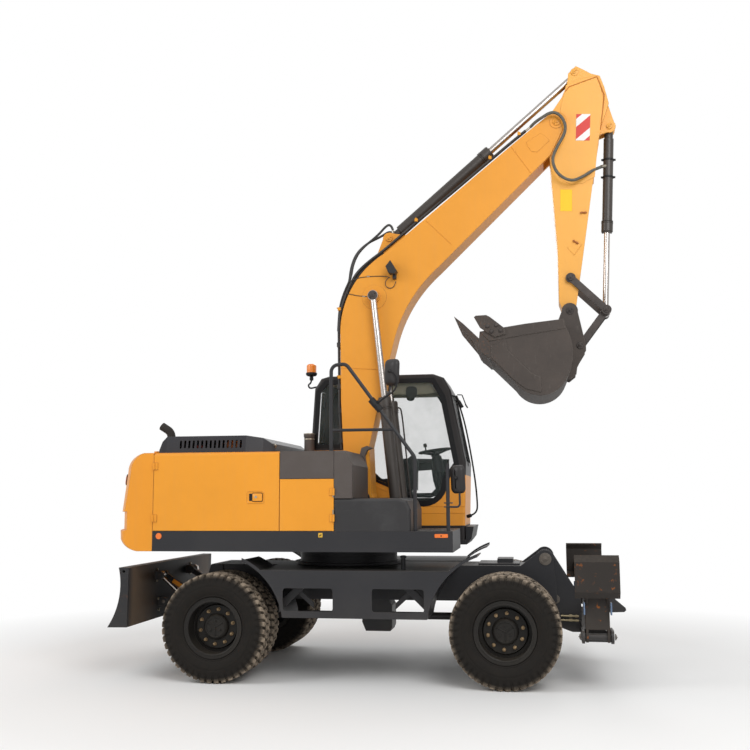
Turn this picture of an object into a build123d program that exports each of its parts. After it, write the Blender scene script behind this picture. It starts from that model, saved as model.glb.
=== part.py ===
from build123d import *
from collections import namedtuple
from math import atan2, cos, degrees, hypot, radians, sin, sqrt
import os

# Wheeled excavator, millimetres. +X is the machine's front, +Y its left side, +Z up.
# The origin is on the ground, midway between the axles.

# Wheels and axles
wheelbase = 2800.0
tyre_radius = 522.0
tyre_bore = 258.0
tyre_width = 278.0
twin_spacing = 317.0
track_half = 1136.0
rim_wall = 11.0
bead_half = 104.0
flange_radius = 290.0
axle_tube_radius = 88.0
spindle_radius = 58.0
kingpin_y = 790.0
kingpin_radius = 28.0
axle_height = tyre_radius
front_x = wheelbase / 2
rear_x = -wheelbase / 2

# Chassis
frame_half = 330.0
frame_top = 1070.0
frame_bottom = 715.0
frame_front = 1700.0
frame_rear = -1730.0
side_face = 1240.0
plate = 12.0

# Slewing ring and the revolving deck
slew_x = -297.0
ring_radius = 520.0
ring_bottom = 1096.0
ring_split = 1170.0
deck_bottom = 1250.0
deck_thick = 50.0
belt_top = 1447.0
body_half = 1245.0
body_top = 2218.0
tail_radius = 2400.0
weight_front = -2038.0
deck_front = 933.0
cab_rear = -805.0
cab_right = 345.0

# Pins of the digging gear, as (x, z)
boom_foot = (-130.0, 1745.0)
boom_tip = (2034.0, 5809.0)
boom_rod_pin = (20.0, 3945.0)
boom_base_pin = (287.0, 1400.0)
arm_base_pin = (176.0, 4619.0)
arm_rod_pin = (2244.0, 6381.0)
bucket_base_pin = (2600.0, 5755.0)
link_arm_pin = (2136.0, 4078.0)
link_joint = (2496.0, 3720.0)
bucket_pin = (2116.0, 3720.0)
bucket_ear = (2212.0, 3345.0)
boom_half = 170.0
arm_half = 120.0
bucket_half = 490.0
boom_cylinder_y = 250.0

# Fits between pieces that move
pin_gap = 0.3
side_gap = 5.0
seat_gap = 0.3

# Dozer blade: two pairs of equal links hold it upright as it sinks
blade_low_pivot = (-1785.0, 404.0)
blade_low_lug = (-2226.0, 680.0)
blade_pivot_rise = 280.0
blade_base_pin = (-1665.0, 470.0)
blade_arm_y = 400.0
blade_cylinder_y = 510.0

# Front stabilisers
leg_x = 2245.0
leg_pivot_y = 1060.0
leg_pivot_z = 480.0
leg_half = 108.0

os.makedirs("parts", exist_ok=True)


def save(piece, name):
    piece.part.label = name
    export_step(piece.part, f"parts/{name}.step")


def at_side(y):
    """The plane at this y whose sketch reads x to the right and z up, and whose normal is -Y."""
    return Plane.XZ.offset(-y)


def bush(center, radius, y_from, y_to):
    """A round pin or boss along Y, from one y to the other, at this (x, z)."""
    with BuildPart() as turned:
        with BuildSketch(at_side(y_to)):
            with Locations(center):
                Circle(radius)
        extrude(amount=y_to - y_from)
    return turned.part


# Tyres: a pair of twins at each corner, on one hub
shoulder_radius = tyre_radius - 16
shoulder_half = 122.0
crown_half = 92.0
belly_radius = 395.0
with BuildPart() as twin_tyres:
    for y in (track_half, track_half - twin_spacing):
        with BuildSketch(Plane.XY):
            with BuildLine():
                bead = Line((tyre_bore, y + bead_half), (flange_radius + 3, y + bead_half))
                wall = ThreePointArc(bead @ 1, (belly_radius, y + tyre_width / 2), (shoulder_radius, y + shoulder_half))
                crown = Polyline(wall @ 1, (tyre_radius, y + crown_half), (tyre_radius, y - crown_half),
                                 (shoulder_radius, y - shoulder_half))
                inner_wall = ThreePointArc(crown @ 1, (belly_radius, y - tyre_width / 2),
                                           (flange_radius + 3, y - bead_half))
                Polyline(inner_wall @ 1, (tyre_bore, y - bead_half), bead @ 0)
            make_face()
        revolve(axis=Axis.Y)

# Rims: two barrels, the dished outer disc, the hub drum and its planetary cap
disc_y = 1116.0
flange = 8.0
barrel_inner = tyre_bore - rim_wall
barrel_half = bead_half + pin_gap + flange
band_wall = 14.0
hub_radius = 205.0
drum_radius = 165.0
cap_radius = 118.0
cap_face = 1168.0
hub_inner_y = 930.0
with BuildPart() as twin_rims:
    for y in (track_half, track_half - twin_spacing):
        with BuildSketch(Plane.XY):
            with Locations((tyre_bore - pin_gap - rim_wall / 2, y)):
                Rectangle(rim_wall, 2 * barrel_half)
            for side in (-1, 1):
                with Locations(((barrel_inner + flange_radius) / 2, y + side * (barrel_half - flange / 2))):
                    Rectangle(flange_radius - barrel_inner, flange)
        revolve(axis=Axis.Y)
    # the band that joins the two barrels
    with BuildSketch(Plane.XY):
        with Locations((barrel_inner, track_half - twin_spacing / 2)):
            Rectangle(band_wall, twin_spacing - 2 * barrel_half + 2 * flange)
    revolve(axis=Axis.Y)
    with BuildSketch(Plane.XY):
        with BuildLine():
            Polyline((0, disc_y - 46), (tyre_bore - rim_wall, disc_y - 46),
                     (tyre_bore - rim_wall, disc_y - 30), (hub_radius + 12, disc_y - 30),
                     (hub_radius, disc_y), (cap_radius + 8, disc_y), (cap_radius, cap_face - 14),
                     (cap_radius - 14, cap_face), (0, cap_face), close=True)
        make_face()
    revolve(axis=Axis.Y)
    add(bush((0, 0), drum_radius, hub_inner_y, disc_y - 20))
    add(bush((0, 0), spindle_radius + pin_gap, hub_inner_y - 1, disc_y - 46), mode=Mode.SUBTRACT)

Corner = namedtuple("Corner", "name x side")
corners = [Corner("front_right", front_x, -1), Corner("front_left", front_x, 1),
           Corner("rear_right", rear_x, -1), Corner("rear_left", rear_x, 1)]
for corner in corners:
    for source, kind in ((twin_tyres, "tyres"), (twin_rims, "rims")):
        with BuildPart() as piece:
            add(source.part)
            if corner.side < 0:
                mirror(about=Plane.XZ, mode=Mode.REPLACE)
            placed = piece.part.moved(Location((corner.x, 0, axle_height)))
            add(placed, mode=Mode.REPLACE)
        save(piece, f"{kind}_{corner.name}")

# Rear axle: a cast bowl, two tapering arms and the spindles that the hubs turn on
bowl_radius = 185.0
nose_radius = 66.0
nose_reach = bowl_radius + 55
arm_end_y = 700.0
spindle_end_y = hub_inner_y + 60
pad_half = 75.0
with BuildPart() as axle_rear:
    with BuildSketch(Plane.XY.offset(axle_height)):
        with BuildLine():
            Polyline((rear_x, 0), (rear_x + bowl_radius, 0), (rear_x + bowl_radius - 15, 110),
                     (rear_x + axle_tube_radius + 20, 250), (rear_x + axle_tube_radius, 330),
                     (rear_x + axle_tube_radius - 8, arm_end_y),
                     (rear_x + spindle_radius, arm_end_y + 30),
                     (rear_x + spindle_radius, spindle_end_y), (rear_x, spindle_end_y), close=True)
        make_face()
    revolve(axis=Axis((rear_x, 0, axle_height), (0, 1, 0)))
    mirror(about=Plane.XZ)
    for y in (-frame_half + pad_half, frame_half - pad_half):
        with BuildSketch(Plane.XY.offset(axle_height)):
            with Locations((rear_x, y)):
                Rectangle(2 * pad_half, 2 * pad_half - 30)
        extrude(amount=frame_bottom - axle_height)
    with BuildSketch(Plane.YZ.offset(rear_x)):
        with Locations((0, axle_height)):
            Circle(nose_radius)
    extrude(amount=nose_reach)
save(axle_rear, "axle_rear")

# Front axle: the same bowl, ending in forks that hold the kingpins
fork_height = 150.0
fork_thick = 34.0
steer_arm = 140.0
steer_x = front_x - 230
steer_z = axle_height - 86
steer_barrel_half = 260.0
steer_barrel_radius = 40.0
steer_rod_radius = 18.0
knuckle_half = fork_height - fork_thick - side_gap
with BuildPart() as axle_front:
    with BuildSketch(Plane.XY.offset(axle_height)):
        with BuildLine():
            Polyline((front_x, 0), (front_x + bowl_radius, 0), (front_x + bowl_radius - 15, 110),
                     (front_x + axle_tube_radius + 20, 250), (front_x + axle_tube_radius, 330),
                     (front_x + axle_tube_radius - 10, kingpin_y - 130), (front_x, kingpin_y - 130),
                     close=True)
        make_face()
    revolve(axis=Axis((front_x, 0, axle_height), (0, 1, 0)))
    with BuildSketch(Plane.XY.offset(axle_height - fork_height)):
        with Locations((front_x, kingpin_y - 115)):
            Rectangle(110, 50)
    extrude(amount=2 * fork_height)
    for z in (axle_height - fork_height, axle_height + fork_height - fork_thick):
        with BuildSketch(Plane.XY.offset(z)):
            with Locations((front_x, kingpin_y - 60)):
                Rectangle(110, 120)
            with Locations((front_x, kingpin_y)):
                Circle(55)
        extrude(amount=fork_thick)
    with BuildSketch(Plane.XY.offset(axle_height - fork_height)):
        with Locations((front_x, kingpin_y)):
            Circle(kingpin_radius)
    extrude(amount=2 * fork_height)
    mirror(about=Plane.XZ)
    for y in (-frame_half + pad_half, frame_half - pad_half):
        with BuildSketch(Plane.XY.offset(axle_height)):
            with Locations((front_x, y)):
                Rectangle(2 * pad_half, 2 * pad_half - 30)
        extrude(amount=frame_bottom - axle_height)
    with BuildSketch(Plane.YZ.offset(front_x)):
        with Locations((0, axle_height)):
            Circle(nose_radius)
    extrude(amount=-nose_reach)
    # the steering cylinder's barrel, on two brackets behind the bowl
    add(bush((steer_x, steer_z), steer_barrel_radius, -steer_barrel_half, steer_barrel_half))
    for y in (-175, 175):
        with BuildSketch(at_side(y + 25)):
            with BuildLine():
                Polyline((front_x - 60, axle_height - 20), (steer_x, steer_z - 20),
                         (steer_x, steer_z + 30), (front_x - 60, axle_height + 40), close=True)
            make_face()
        extrude(amount=50)
    add(bush((steer_x, steer_z), steer_rod_radius + pin_gap, -steer_barrel_half - 1, steer_barrel_half + 1),
        mode=Mode.SUBTRACT)
save(axle_front, "axle_front")

# Steering knuckles: a block on the kingpin, the spindle outward and the arm straight behind
knuckle_radius = 52.0
steer_eye = 28.0
steer_eye_half = 20.0
for name, side in (("right", -1), ("left", 1)):
    with BuildPart() as knuckle:
        with BuildSketch(Plane.XY.offset(axle_height - knuckle_half)):
            with Locations((front_x, side * kingpin_y)):
                Circle(knuckle_radius)
        extrude(amount=2 * knuckle_half)
        with BuildSketch(at_side(side * kingpin_y)):
            with Locations((front_x, axle_height)):
                Circle(spindle_radius)
        extrude(amount=-side * (spindle_end_y - kingpin_y))
        with BuildSketch(Plane.XY.offset(steer_z + steer_eye_half + seat_gap)):
            with Locations((front_x - steer_arm / 2, side * kingpin_y)):
                Rectangle(steer_arm, 2 * steer_eye)
            with Locations((front_x - steer_arm, side * kingpin_y)):
                Circle(steer_eye)
        extrude(amount=24)
        with BuildSketch(Plane.XY.offset(axle_height - knuckle_half - 1)):
            with Locations((front_x, side * kingpin_y)):
                Circle(kingpin_radius + pin_gap)
        extrude(amount=2 * knuckle_half + 2, mode=Mode.SUBTRACT)
    save(knuckle, f"knuckle_{name}")

# Steering rod: one cranked bar through the cylinder, with an eye under each knuckle's arm
crank_from = 430.0
crank_to = 580.0
with BuildPart() as steering_rod:
    with BuildLine() as bar_line:
        FilletPolyline((front_x - steer_arm, -kingpin_y, steer_z), (front_x - steer_arm, -crank_to, steer_z),
                       (steer_x, -crank_from, steer_z), (steer_x, crank_from, steer_z),
                       (front_x - steer_arm, crank_to, steer_z), (front_x - steer_arm, kingpin_y, steer_z), radius=60)
    with BuildSketch(Plane(origin=bar_line.line @ 0, z_dir=bar_line.line % 0)):
        Circle(steer_rod_radius)
    sweep()
    for side in (-1, 1):
        with BuildSketch(Plane.XY.offset(steer_z - steer_eye_half)):
            with Locations((front_x - steer_arm, side * kingpin_y)):
                Circle(steer_eye)
        extrude(amount=2 * steer_eye_half)
save(steering_rod, "steering_rod")

# Chassis: a box beam, the ring's pedestal, the blade's hangers and the front lugs
pedestal_radius = 560.0
hanger_y = 345.0
hanger_thick = 28.0
front_pin_top = (1789.0, 1140.0)
front_pin_low = (1840.0, 800.0)
front_lug_y = 315.0
pivot_pin_radius = 24.0
link_half = 20.0
base_eye_half = 30.0
with BuildPart() as chassis_frame:
    with BuildSketch(at_side(frame_half)):
        with BuildLine():
            Polyline((frame_rear, frame_bottom + 40), (frame_rear + 60, frame_bottom),
                     (frame_front - 40, frame_bottom), (frame_front, frame_bottom + 60),
                     (frame_front, frame_top), (frame_rear, frame_top), close=True)
        make_face()
    extrude(amount=2 * frame_half)
    with BuildSketch(Plane.XY.offset(frame_top)):
        with Locations((slew_x, 0)):
            Circle(pedestal_radius)
    extrude(amount=ring_bottom - frame_top)
    with BuildSketch(Plane.XY.offset(ring_bottom)):
        with Locations((slew_x, 0)):
            Circle(ring_radius)
            Circle(ring_radius - 110, mode=Mode.SUBTRACT)
    extrude(amount=ring_split - seat_gap - ring_bottom)
    # the dozer blade's hangers, outside the beam at its rear
    for side in (-1, 1):
        with BuildSketch(at_side(side * (hanger_y - hanger_thick / 2) + hanger_thick / 2)):
            with BuildLine():
                Polyline((frame_rear + 130, frame_top), (frame_rear + 130, 560), (-1625, 420),
                         (blade_low_pivot[0] + 20, blade_low_pivot[1] - 50),
                         (blade_low_pivot[0] - 50, blade_low_pivot[1] - 20),
                         (blade_low_pivot[0] - 50, blade_low_pivot[1] + blade_pivot_rise + 60),
                         (frame_rear, frame_top), close=True)
            make_face()
        extrude(amount=hanger_thick)
    # the lugs for the stabiliser frame, with their pins
    for side in (-1, 1):
        with BuildSketch(at_side(side * front_lug_y + 15)):
            with BuildLine():
                Polyline((frame_front - 160, frame_bottom + 30), (front_pin_low[0] + 55, frame_bottom),
                         (front_pin_low[0] + 55, front_pin_low[1] + 30),
                         (front_pin_top[0] + 75, front_pin_top[1]),
                         (front_pin_top[0] - 60, front_pin_top[1] + 70),
                         (frame_front - 160, frame_top), close=True)
            make_face()
            with Locations(front_pin_top):
                Circle(88)
        extrude(amount=30)
    # a cover plate on the beam's top behind the lugs, with the rotary pipe box on it
    for x_from, x_to, half, rise in ((1110, 1530, 250, 20), (1300, 1460, 160, 62)):
        with BuildSketch(Plane.XY.offset(frame_top - 1)):
            with Locations(((x_from + x_to) / 2, 0)):
                Rectangle(x_to - x_from, 2 * half)
        extrude(amount=rise)
    # the pins that the blade's links and cylinders turn on, standing out from the hangers
    high_pivot = (blade_low_pivot[0], blade_low_pivot[1] + blade_pivot_rise)
    for pin, reach in ((blade_low_pivot, blade_arm_y + link_half + 6), (high_pivot, blade_arm_y + link_half + 6),
                       (blade_base_pin, blade_cylinder_y + base_eye_half + 6)):
        for side in (-1, 1):
            with BuildSketch(at_side(side * hanger_y)):
                with Locations(pin):
                    Circle(pivot_pin_radius)
            extrude(amount=-side * (reach - hanger_y))
save(chassis_frame, "chassis_frame")

# Side steps: a skirt with two openings each side, curved mudguards at both ends, a deck on top
rear_guard = 695.0
front_guard = 727.0
guard_lip = 28.0
skirt_bottom = 630.0
skirt_top = 1075.0
rear_tip_x = -1121.0
front_tip_x = 1157.0
guard_inner_y = 640.0
window_bottom = 693.0
window_top = 907.0
windows = [(-709.0, -219.0), (157.0, 653.0)]
guards = [(rear_x, rear_guard), (front_x, front_guard)]
rib_xs = (-790.0, -31.0, 690.0)
with BuildPart() as side_steps:
    with BuildSketch(at_side(side_face)):
        with Locations((0, (skirt_bottom + skirt_top) / 2)):
            Rectangle(wheelbase, skirt_top - skirt_bottom)
        for x, radius in guards:
            with Locations((x, axle_height)):
                Circle(radius, mode=Mode.SUBTRACT)
        for x_from, x_to in windows:
            with Locations(((x_from + x_to) / 2, (window_bottom + window_top) / 2)):
                RectangleRounded(x_to - x_from, window_top - window_bottom, 28, mode=Mode.SUBTRACT)
    extrude(amount=plate)
    for depth, thick in ((plate, guard_lip), (side_face - guard_inner_y, plate)):
        for (x, radius), tip, turn in zip(guards, (rear_tip_x, front_tip_x), (1, -1)):
            with BuildSketch(at_side(side_face)):
                with Locations((x, axle_height)):
                    Circle(radius + thick)
                    Circle(radius, mode=Mode.SUBTRACT)
                with Locations((tip + turn * wheelbase / 2, skirt_bottom + wheelbase / 2)):
                    Rectangle(wheelbase, wheelbase, mode=Mode.INTERSECT)
            extrude(amount=depth)
    deck_from = rear_x + sqrt(rear_guard ** 2 - (skirt_top - axle_height) ** 2) + 4
    deck_to = front_x - sqrt(front_guard ** 2 - (skirt_top - axle_height) ** 2) - 4
    with BuildSketch(Plane.XY.offset(skirt_top - 10)):
        with Locations(((deck_from + deck_to) / 2, (frame_half + side_face) / 2)):
            Rectangle(deck_to - deck_from, side_face - frame_half - seat_gap)
        with Locations((slew_x, 0)):
            Circle(pedestal_radius + seat_gap, mode=Mode.SUBTRACT)
    extrude(amount=10)
    for x in rib_xs:
        with BuildSketch(Plane.YZ.offset(x)):
            with Locations(((frame_half + side_face) / 2, (window_top + skirt_top) / 2)):
                Rectangle(side_face - frame_half - seat_gap, skirt_top - window_top - 10)
        extrude(amount=plate)
    mirror(about=Plane.XZ)
save(side_steps, "side_steps")

# Gearbox under the ring, and the shafts to both axles
shaft_radius = 38.0
shaft_z = 560.0
with BuildPart() as gearbox:
    with BuildSketch(at_side(150)):
        with BuildLine():
            Polyline((-110, frame_bottom - seat_gap), (-130, 470), (-90, 375), (170, 375), (190, 420),
                     (190, 640), (140, frame_bottom - seat_gap), close=True)
        make_face()
    extrude(amount=300)
    for x_from, x_to in ((rear_x + nose_reach + seat_gap, -100), (170, front_x - nose_reach - seat_gap)):
        with BuildSketch(Plane.YZ.offset(x_from)):
            with Locations((0, axle_height)):
                Circle(shaft_radius)
        extrude(amount=x_to - x_from)
save(gearbox, "gearbox_and_shafts")

# Stabiliser frame: two raked plates, a cross beam with a fork at each end, the towing nose
fork_gap = 12.0
beam_half = leg_pivot_y - 95
beam_low = 420.0
beam_high = 535.0
leg_base_pin = (250.0, 860.0)
leg_eye_half = 49.0
leg_pin_radius = 24.0
with BuildPart() as stabiliser_frame:
    for side in (-1, 1):
        with BuildSketch(at_side(side * (front_lug_y - 30 - seat_gap) + 15)):
            with BuildLine():
                Polyline((front_pin_top[0] - 60, front_pin_top[1] - 60),
                         (front_pin_low[0] + 20, front_pin_low[1] - 130), (1900, 470), (2040, beam_low),
                         (2135, beam_low), (2135, 760), (2080, 830),
                         (front_pin_top[0] + 68, front_pin_top[1] + 55), close=True)
            make_face()
            with Locations(front_pin_top):
                Circle(95)
        extrude(amount=30)
    with BuildSketch(at_side(beam_half)):
        with BuildLine():
            Polyline((leg_x - leg_half - 20, beam_low), (leg_x + leg_half + 20, beam_low),
                     (leg_x + leg_half + 20, beam_high - 60), (leg_x + leg_half - 40, beam_high),
                     (leg_x - leg_half - 20, beam_high), close=True)
        make_face()
    extrude(amount=2 * beam_half)
    for x in (leg_x - leg_half - fork_gap - 24, leg_x + leg_half + fork_gap):
        for side in (-1, 1):
            with BuildSketch(Plane.YZ.offset(x)):
                with BuildLine():
                    Polyline((side * (beam_half - 140), beam_low), (side * leg_pivot_y, leg_pivot_z - 62),
                             (side * leg_pivot_y, leg_pivot_z + 62), (side * (beam_half - 140), beam_high),
                             close=True)
                make_face()
                with Locations((side * leg_pivot_y, leg_pivot_z)):
                    Circle(62)
            extrude(amount=24)
    for side in (-1, 1):
        with BuildSketch(Plane.YZ.offset(leg_x - leg_half - fork_gap - 24)):
            with Locations((side * leg_pivot_y, leg_pivot_z)):
                Circle(30)
        extrude(amount=2 * (leg_half + fork_gap + 24))
    with BuildSketch(at_side(20)):
        with BuildLine():
            Polyline((leg_x, beam_high - 40), (leg_x + 20, 800), (2417, 779), (2590, 632), (2596, 608),
                     (2575, 590), (2400, 583), (leg_x + leg_half, beam_high - 40), close=True)
        make_face()
    extrude(amount=40)
    # ears over the beam for the cylinders that swing the legs
    for x in (leg_x - leg_eye_half - 21, leg_x + leg_eye_half + 1):
        for side in (-1, 1):
            with BuildSketch(Plane.YZ.offset(x)):
                with BuildLine():
                    Polyline((side * (leg_base_pin[0] - 110), beam_high - 10),
                             (side * (leg_base_pin[0] - 45), leg_base_pin[1]),
                             (side * (leg_base_pin[0] + 45), leg_base_pin[1]),
                             (side * (leg_base_pin[0] + 90), beam_high - 10), close=True)
                make_face()
                with Locations((side * leg_base_pin[0], leg_base_pin[1])):
                    Circle(46)
            extrude(amount=20)
    for side in (-1, 1):
        with BuildSketch(Plane.YZ.offset(leg_x - leg_eye_half - 21)):
            with Locations((side * leg_base_pin[0], leg_base_pin[1])):
                Circle(leg_pin_radius)
        extrude(amount=2 * leg_eye_half + 42)
save(stabiliser_frame, "stabiliser_frame")

# Stabiliser legs, folded up: two side plates, an outer plate and the curved foot
foot_half = 202.0
foot_low = 840.0
foot_high = 1231.0
foot_face = 1250.0
leg_top = 1060.0
leg_rod_pin = (leg_pivot_y - 100, leg_pivot_z + 330)
for name, side in (("right", -1), ("left", 1)):
    with BuildPart() as leg:
        for x in (leg_x - leg_half, leg_x + leg_half - 22):
            with BuildSketch(Plane.YZ.offset(x)):
                with BuildLine():
                    Polyline((side * (leg_pivot_y - 50), leg_pivot_z),
                             (side * (leg_rod_pin[0] - 38), leg_rod_pin[1] - 20),
                             (side * (leg_rod_pin[0] - 30), leg_rod_pin[1] + 40),
                             (side * (leg_pivot_y - 10), leg_top),
                             (side * (foot_face - 22), leg_top - 30), (side * (foot_face - 22), foot_low + 60),
                             (side * (leg_pivot_y + 50), foot_low - 80),
                             (side * (leg_pivot_y + 50), leg_pivot_z), close=True)
                make_face()
                with Locations((side * leg_pivot_y, leg_pivot_z)):
                    Circle(52)
            extrude(amount=22)
        with BuildSketch(Plane.XY.offset(leg_pivot_z + 70)):
            with Locations((leg_x, side * (leg_pivot_y + 43))):
                Rectangle(2 * leg_half, 14)
        extrude(amount=foot_low - leg_pivot_z)
        with BuildSketch(Plane.YZ.offset(leg_x - foot_half)):
            with BuildLine():
                Polyline((side * foot_face, foot_low + 60), (side * foot_face, foot_high - 60),
                         (side * (foot_face - 50), foot_high), (side * (foot_face - 62), foot_high - 12),
                         (side * (foot_face - 18), foot_high - 66), (side * (foot_face - 18), foot_low + 66),
                         (side * (foot_face - 62), foot_low + 12), (side * (foot_face - 50), foot_low),
                         close=True)
            make_face()
        extrude(amount=2 * foot_half)
        with BuildSketch(Plane.YZ.offset(leg_x - leg_half - 1)):
            with Locations((side * leg_pivot_y, leg_pivot_z)):
                Circle(30 + pin_gap)
        extrude(amount=2 * leg_half + 2, mode=Mode.SUBTRACT)
    save(leg, f"leg_{name}")


def hydraulic(base, rod, pin_dir, shifts, barrel_radius, rod_radius, closed, base_half, rod_half, pin_radius,
              neck):
    """Barrel and rod of one or more like cylinders. The base eye is bored for its pin, and the
    rod's eye carries its own pin, a little wider than the eye. The barrel is narrow as far as its
    neck, where it passes between the plates that hold it."""
    start, stop, across = Vector(*base), Vector(*rod), Vector(*pin_dir)
    along = (stop - start).normalized()
    eye = pin_radius + 20
    bore_from = eye + 30
    barrel_end = closed - eye - 16
    rod_inside = closed - bore_from - 12
    length = (stop - start).length
    with BuildPart() as barrel:
        for shift in shifts:
            line = Plane(origin=start + across * shift, x_dir=across, z_dir=along)
            with BuildSketch(line.offset(eye * 0.6)):
                Circle(min(base_half - 2, barrel_radius))
            extrude(amount=neck)
            with BuildSketch(line.offset(neck)):
                Circle(barrel_radius)
            extrude(amount=barrel_end - neck)
            with BuildSketch(line.offset(barrel_end - 90)):
                Circle(barrel_radius + 8)
            extrude(amount=90)
            with BuildSketch(line.offset(bore_from)):
                Circle(rod_radius + pin_gap)
            extrude(amount=barrel_end, mode=Mode.SUBTRACT)
            with BuildSketch(Plane(origin=start + across * (shift - base_half), x_dir=along, z_dir=across)):
                Circle(eye)
            extrude(amount=2 * base_half)
            with BuildSketch(Plane(origin=start + across * (shift - base_half - 1), x_dir=along, z_dir=across)):
                Circle(pin_radius + pin_gap)
            extrude(amount=2 * base_half + 2, mode=Mode.SUBTRACT)
    with BuildPart() as bar:
        for shift in shifts:
            line = Plane(origin=start + across * shift, x_dir=across, z_dir=along)
            with BuildSketch(line.offset(length - rod_inside)):
                Circle(rod_radius)
            extrude(amount=rod_inside - 5)
            with BuildSketch(Plane(origin=stop + across * (shift - rod_half), x_dir=along, z_dir=across)):
                Circle(eye)
            extrude(amount=2 * rod_half)
            with BuildSketch(Plane(origin=stop + across * (shift - rod_half - 6), x_dir=along, z_dir=across)):
                Circle(pin_radius)
            extrude(amount=2 * rod_half + 12)
    return barrel, bar


# The stabilisers' cylinders, from the ears on the beam to the legs
leg_closed = 705.0
for name, side in (("right", -1), ("left", 1)):
    barrel, rod = hydraulic(base=(leg_x, side * leg_base_pin[0], leg_base_pin[1]),
                            rod=(leg_x, side * leg_rod_pin[0], leg_rod_pin[1]),
                            pin_dir=(1, 0, 0), shifts=(0,), barrel_radius=44, rod_radius=24,
                            closed=leg_closed, base_half=leg_eye_half, rod_half=30,
                            pin_radius=leg_pin_radius, neck=60)
    save(barrel, f"leg_barrel_{name}")
    save(rod, f"leg_rod_{name}")

# Dozer blade: a closed box with a hollow-ground front, lugs for the links and cylinders behind
blade_high_lug = (blade_low_lug[0], blade_low_lug[1] + blade_pivot_rise)
blade_back = -2282.0
lug_thick = 16.0
blade_hole = (-2326.0, 1052.0)
with BuildPart() as blade:
    with BuildSketch(at_side(side_face)):
        with BuildLine():
            face = ThreePointArc((-2380, 1090), (-2360, 874), (-2484, 510))
            Polyline(face @ 1, (blade_back, 513), (blade_back + 5, 1089), face @ 0)
        make_face()
    extrude(amount=2 * side_face)
    for side in (-1, 1):
        for y, half, pins in ((blade_arm_y, link_half, (blade_low_lug, blade_high_lug)),
                              (blade_cylinder_y, 32, (blade_high_lug,))):
            for inner in (side * y - half - 1 - lug_thick, side * y + half + 1):
                with BuildSketch(at_side(inner + lug_thick)):
                    for pin in pins:
                        with Locations(pin):
                            Circle(42)
                        with Locations(((pin[0] + blade_back) / 2, pin[1])):
                            Rectangle(abs(pin[0] - blade_back), 84)
                extrude(amount=lug_thick)
        for pin in (blade_low_lug, blade_high_lug):
            add(bush(pin, pivot_pin_radius, side * blade_arm_y - link_half - 10,
                     side * blade_arm_y + link_half + 10))
        add(bush(blade_hole, 15, side * side_face - 45, side * side_face + 45), mode=Mode.SUBTRACT)
save(blade, "blade")

# Lower arms and upper links of the blade: equal flat links with an eye at each end
for name, pivot, lug in (("blade_lower_arms", blade_low_pivot, blade_low_lug),
                         ("blade_upper_links", high_pivot, blade_high_lug)):
    reach = hypot(lug[0] - pivot[0], lug[1] - pivot[1])
    rise = degrees(atan2(lug[1] - pivot[1], lug[0] - pivot[0]))
    with BuildPart() as link:
        for side in (-1, 1):
            with BuildSketch(at_side(side * blade_arm_y + link_half)):
                with Locations(((pivot[0] + lug[0]) / 2, (pivot[1] + lug[1]) / 2)):
                    Rectangle(reach, 56, rotation=rise)
                with Locations(pivot, lug):
                    Circle(40)
                with Locations(pivot, lug):
                    Circle(pivot_pin_radius + pin_gap, mode=Mode.SUBTRACT)
            extrude(amount=2 * link_half)
    save(link, name)

barrel, rod = hydraulic(base=(blade_base_pin[0], 0, blade_base_pin[1]),
                        rod=(blade_high_lug[0], 0, blade_high_lug[1]), pin_dir=(0, 1, 0),
                        shifts=(-blade_cylinder_y, blade_cylinder_y), barrel_radius=40, rod_radius=22,
                        closed=525, base_half=base_eye_half, rod_half=26, pin_radius=pivot_pin_radius,
                        neck=60)
save(barrel, "blade_barrels")
save(rod, "blade_rods")

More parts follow.
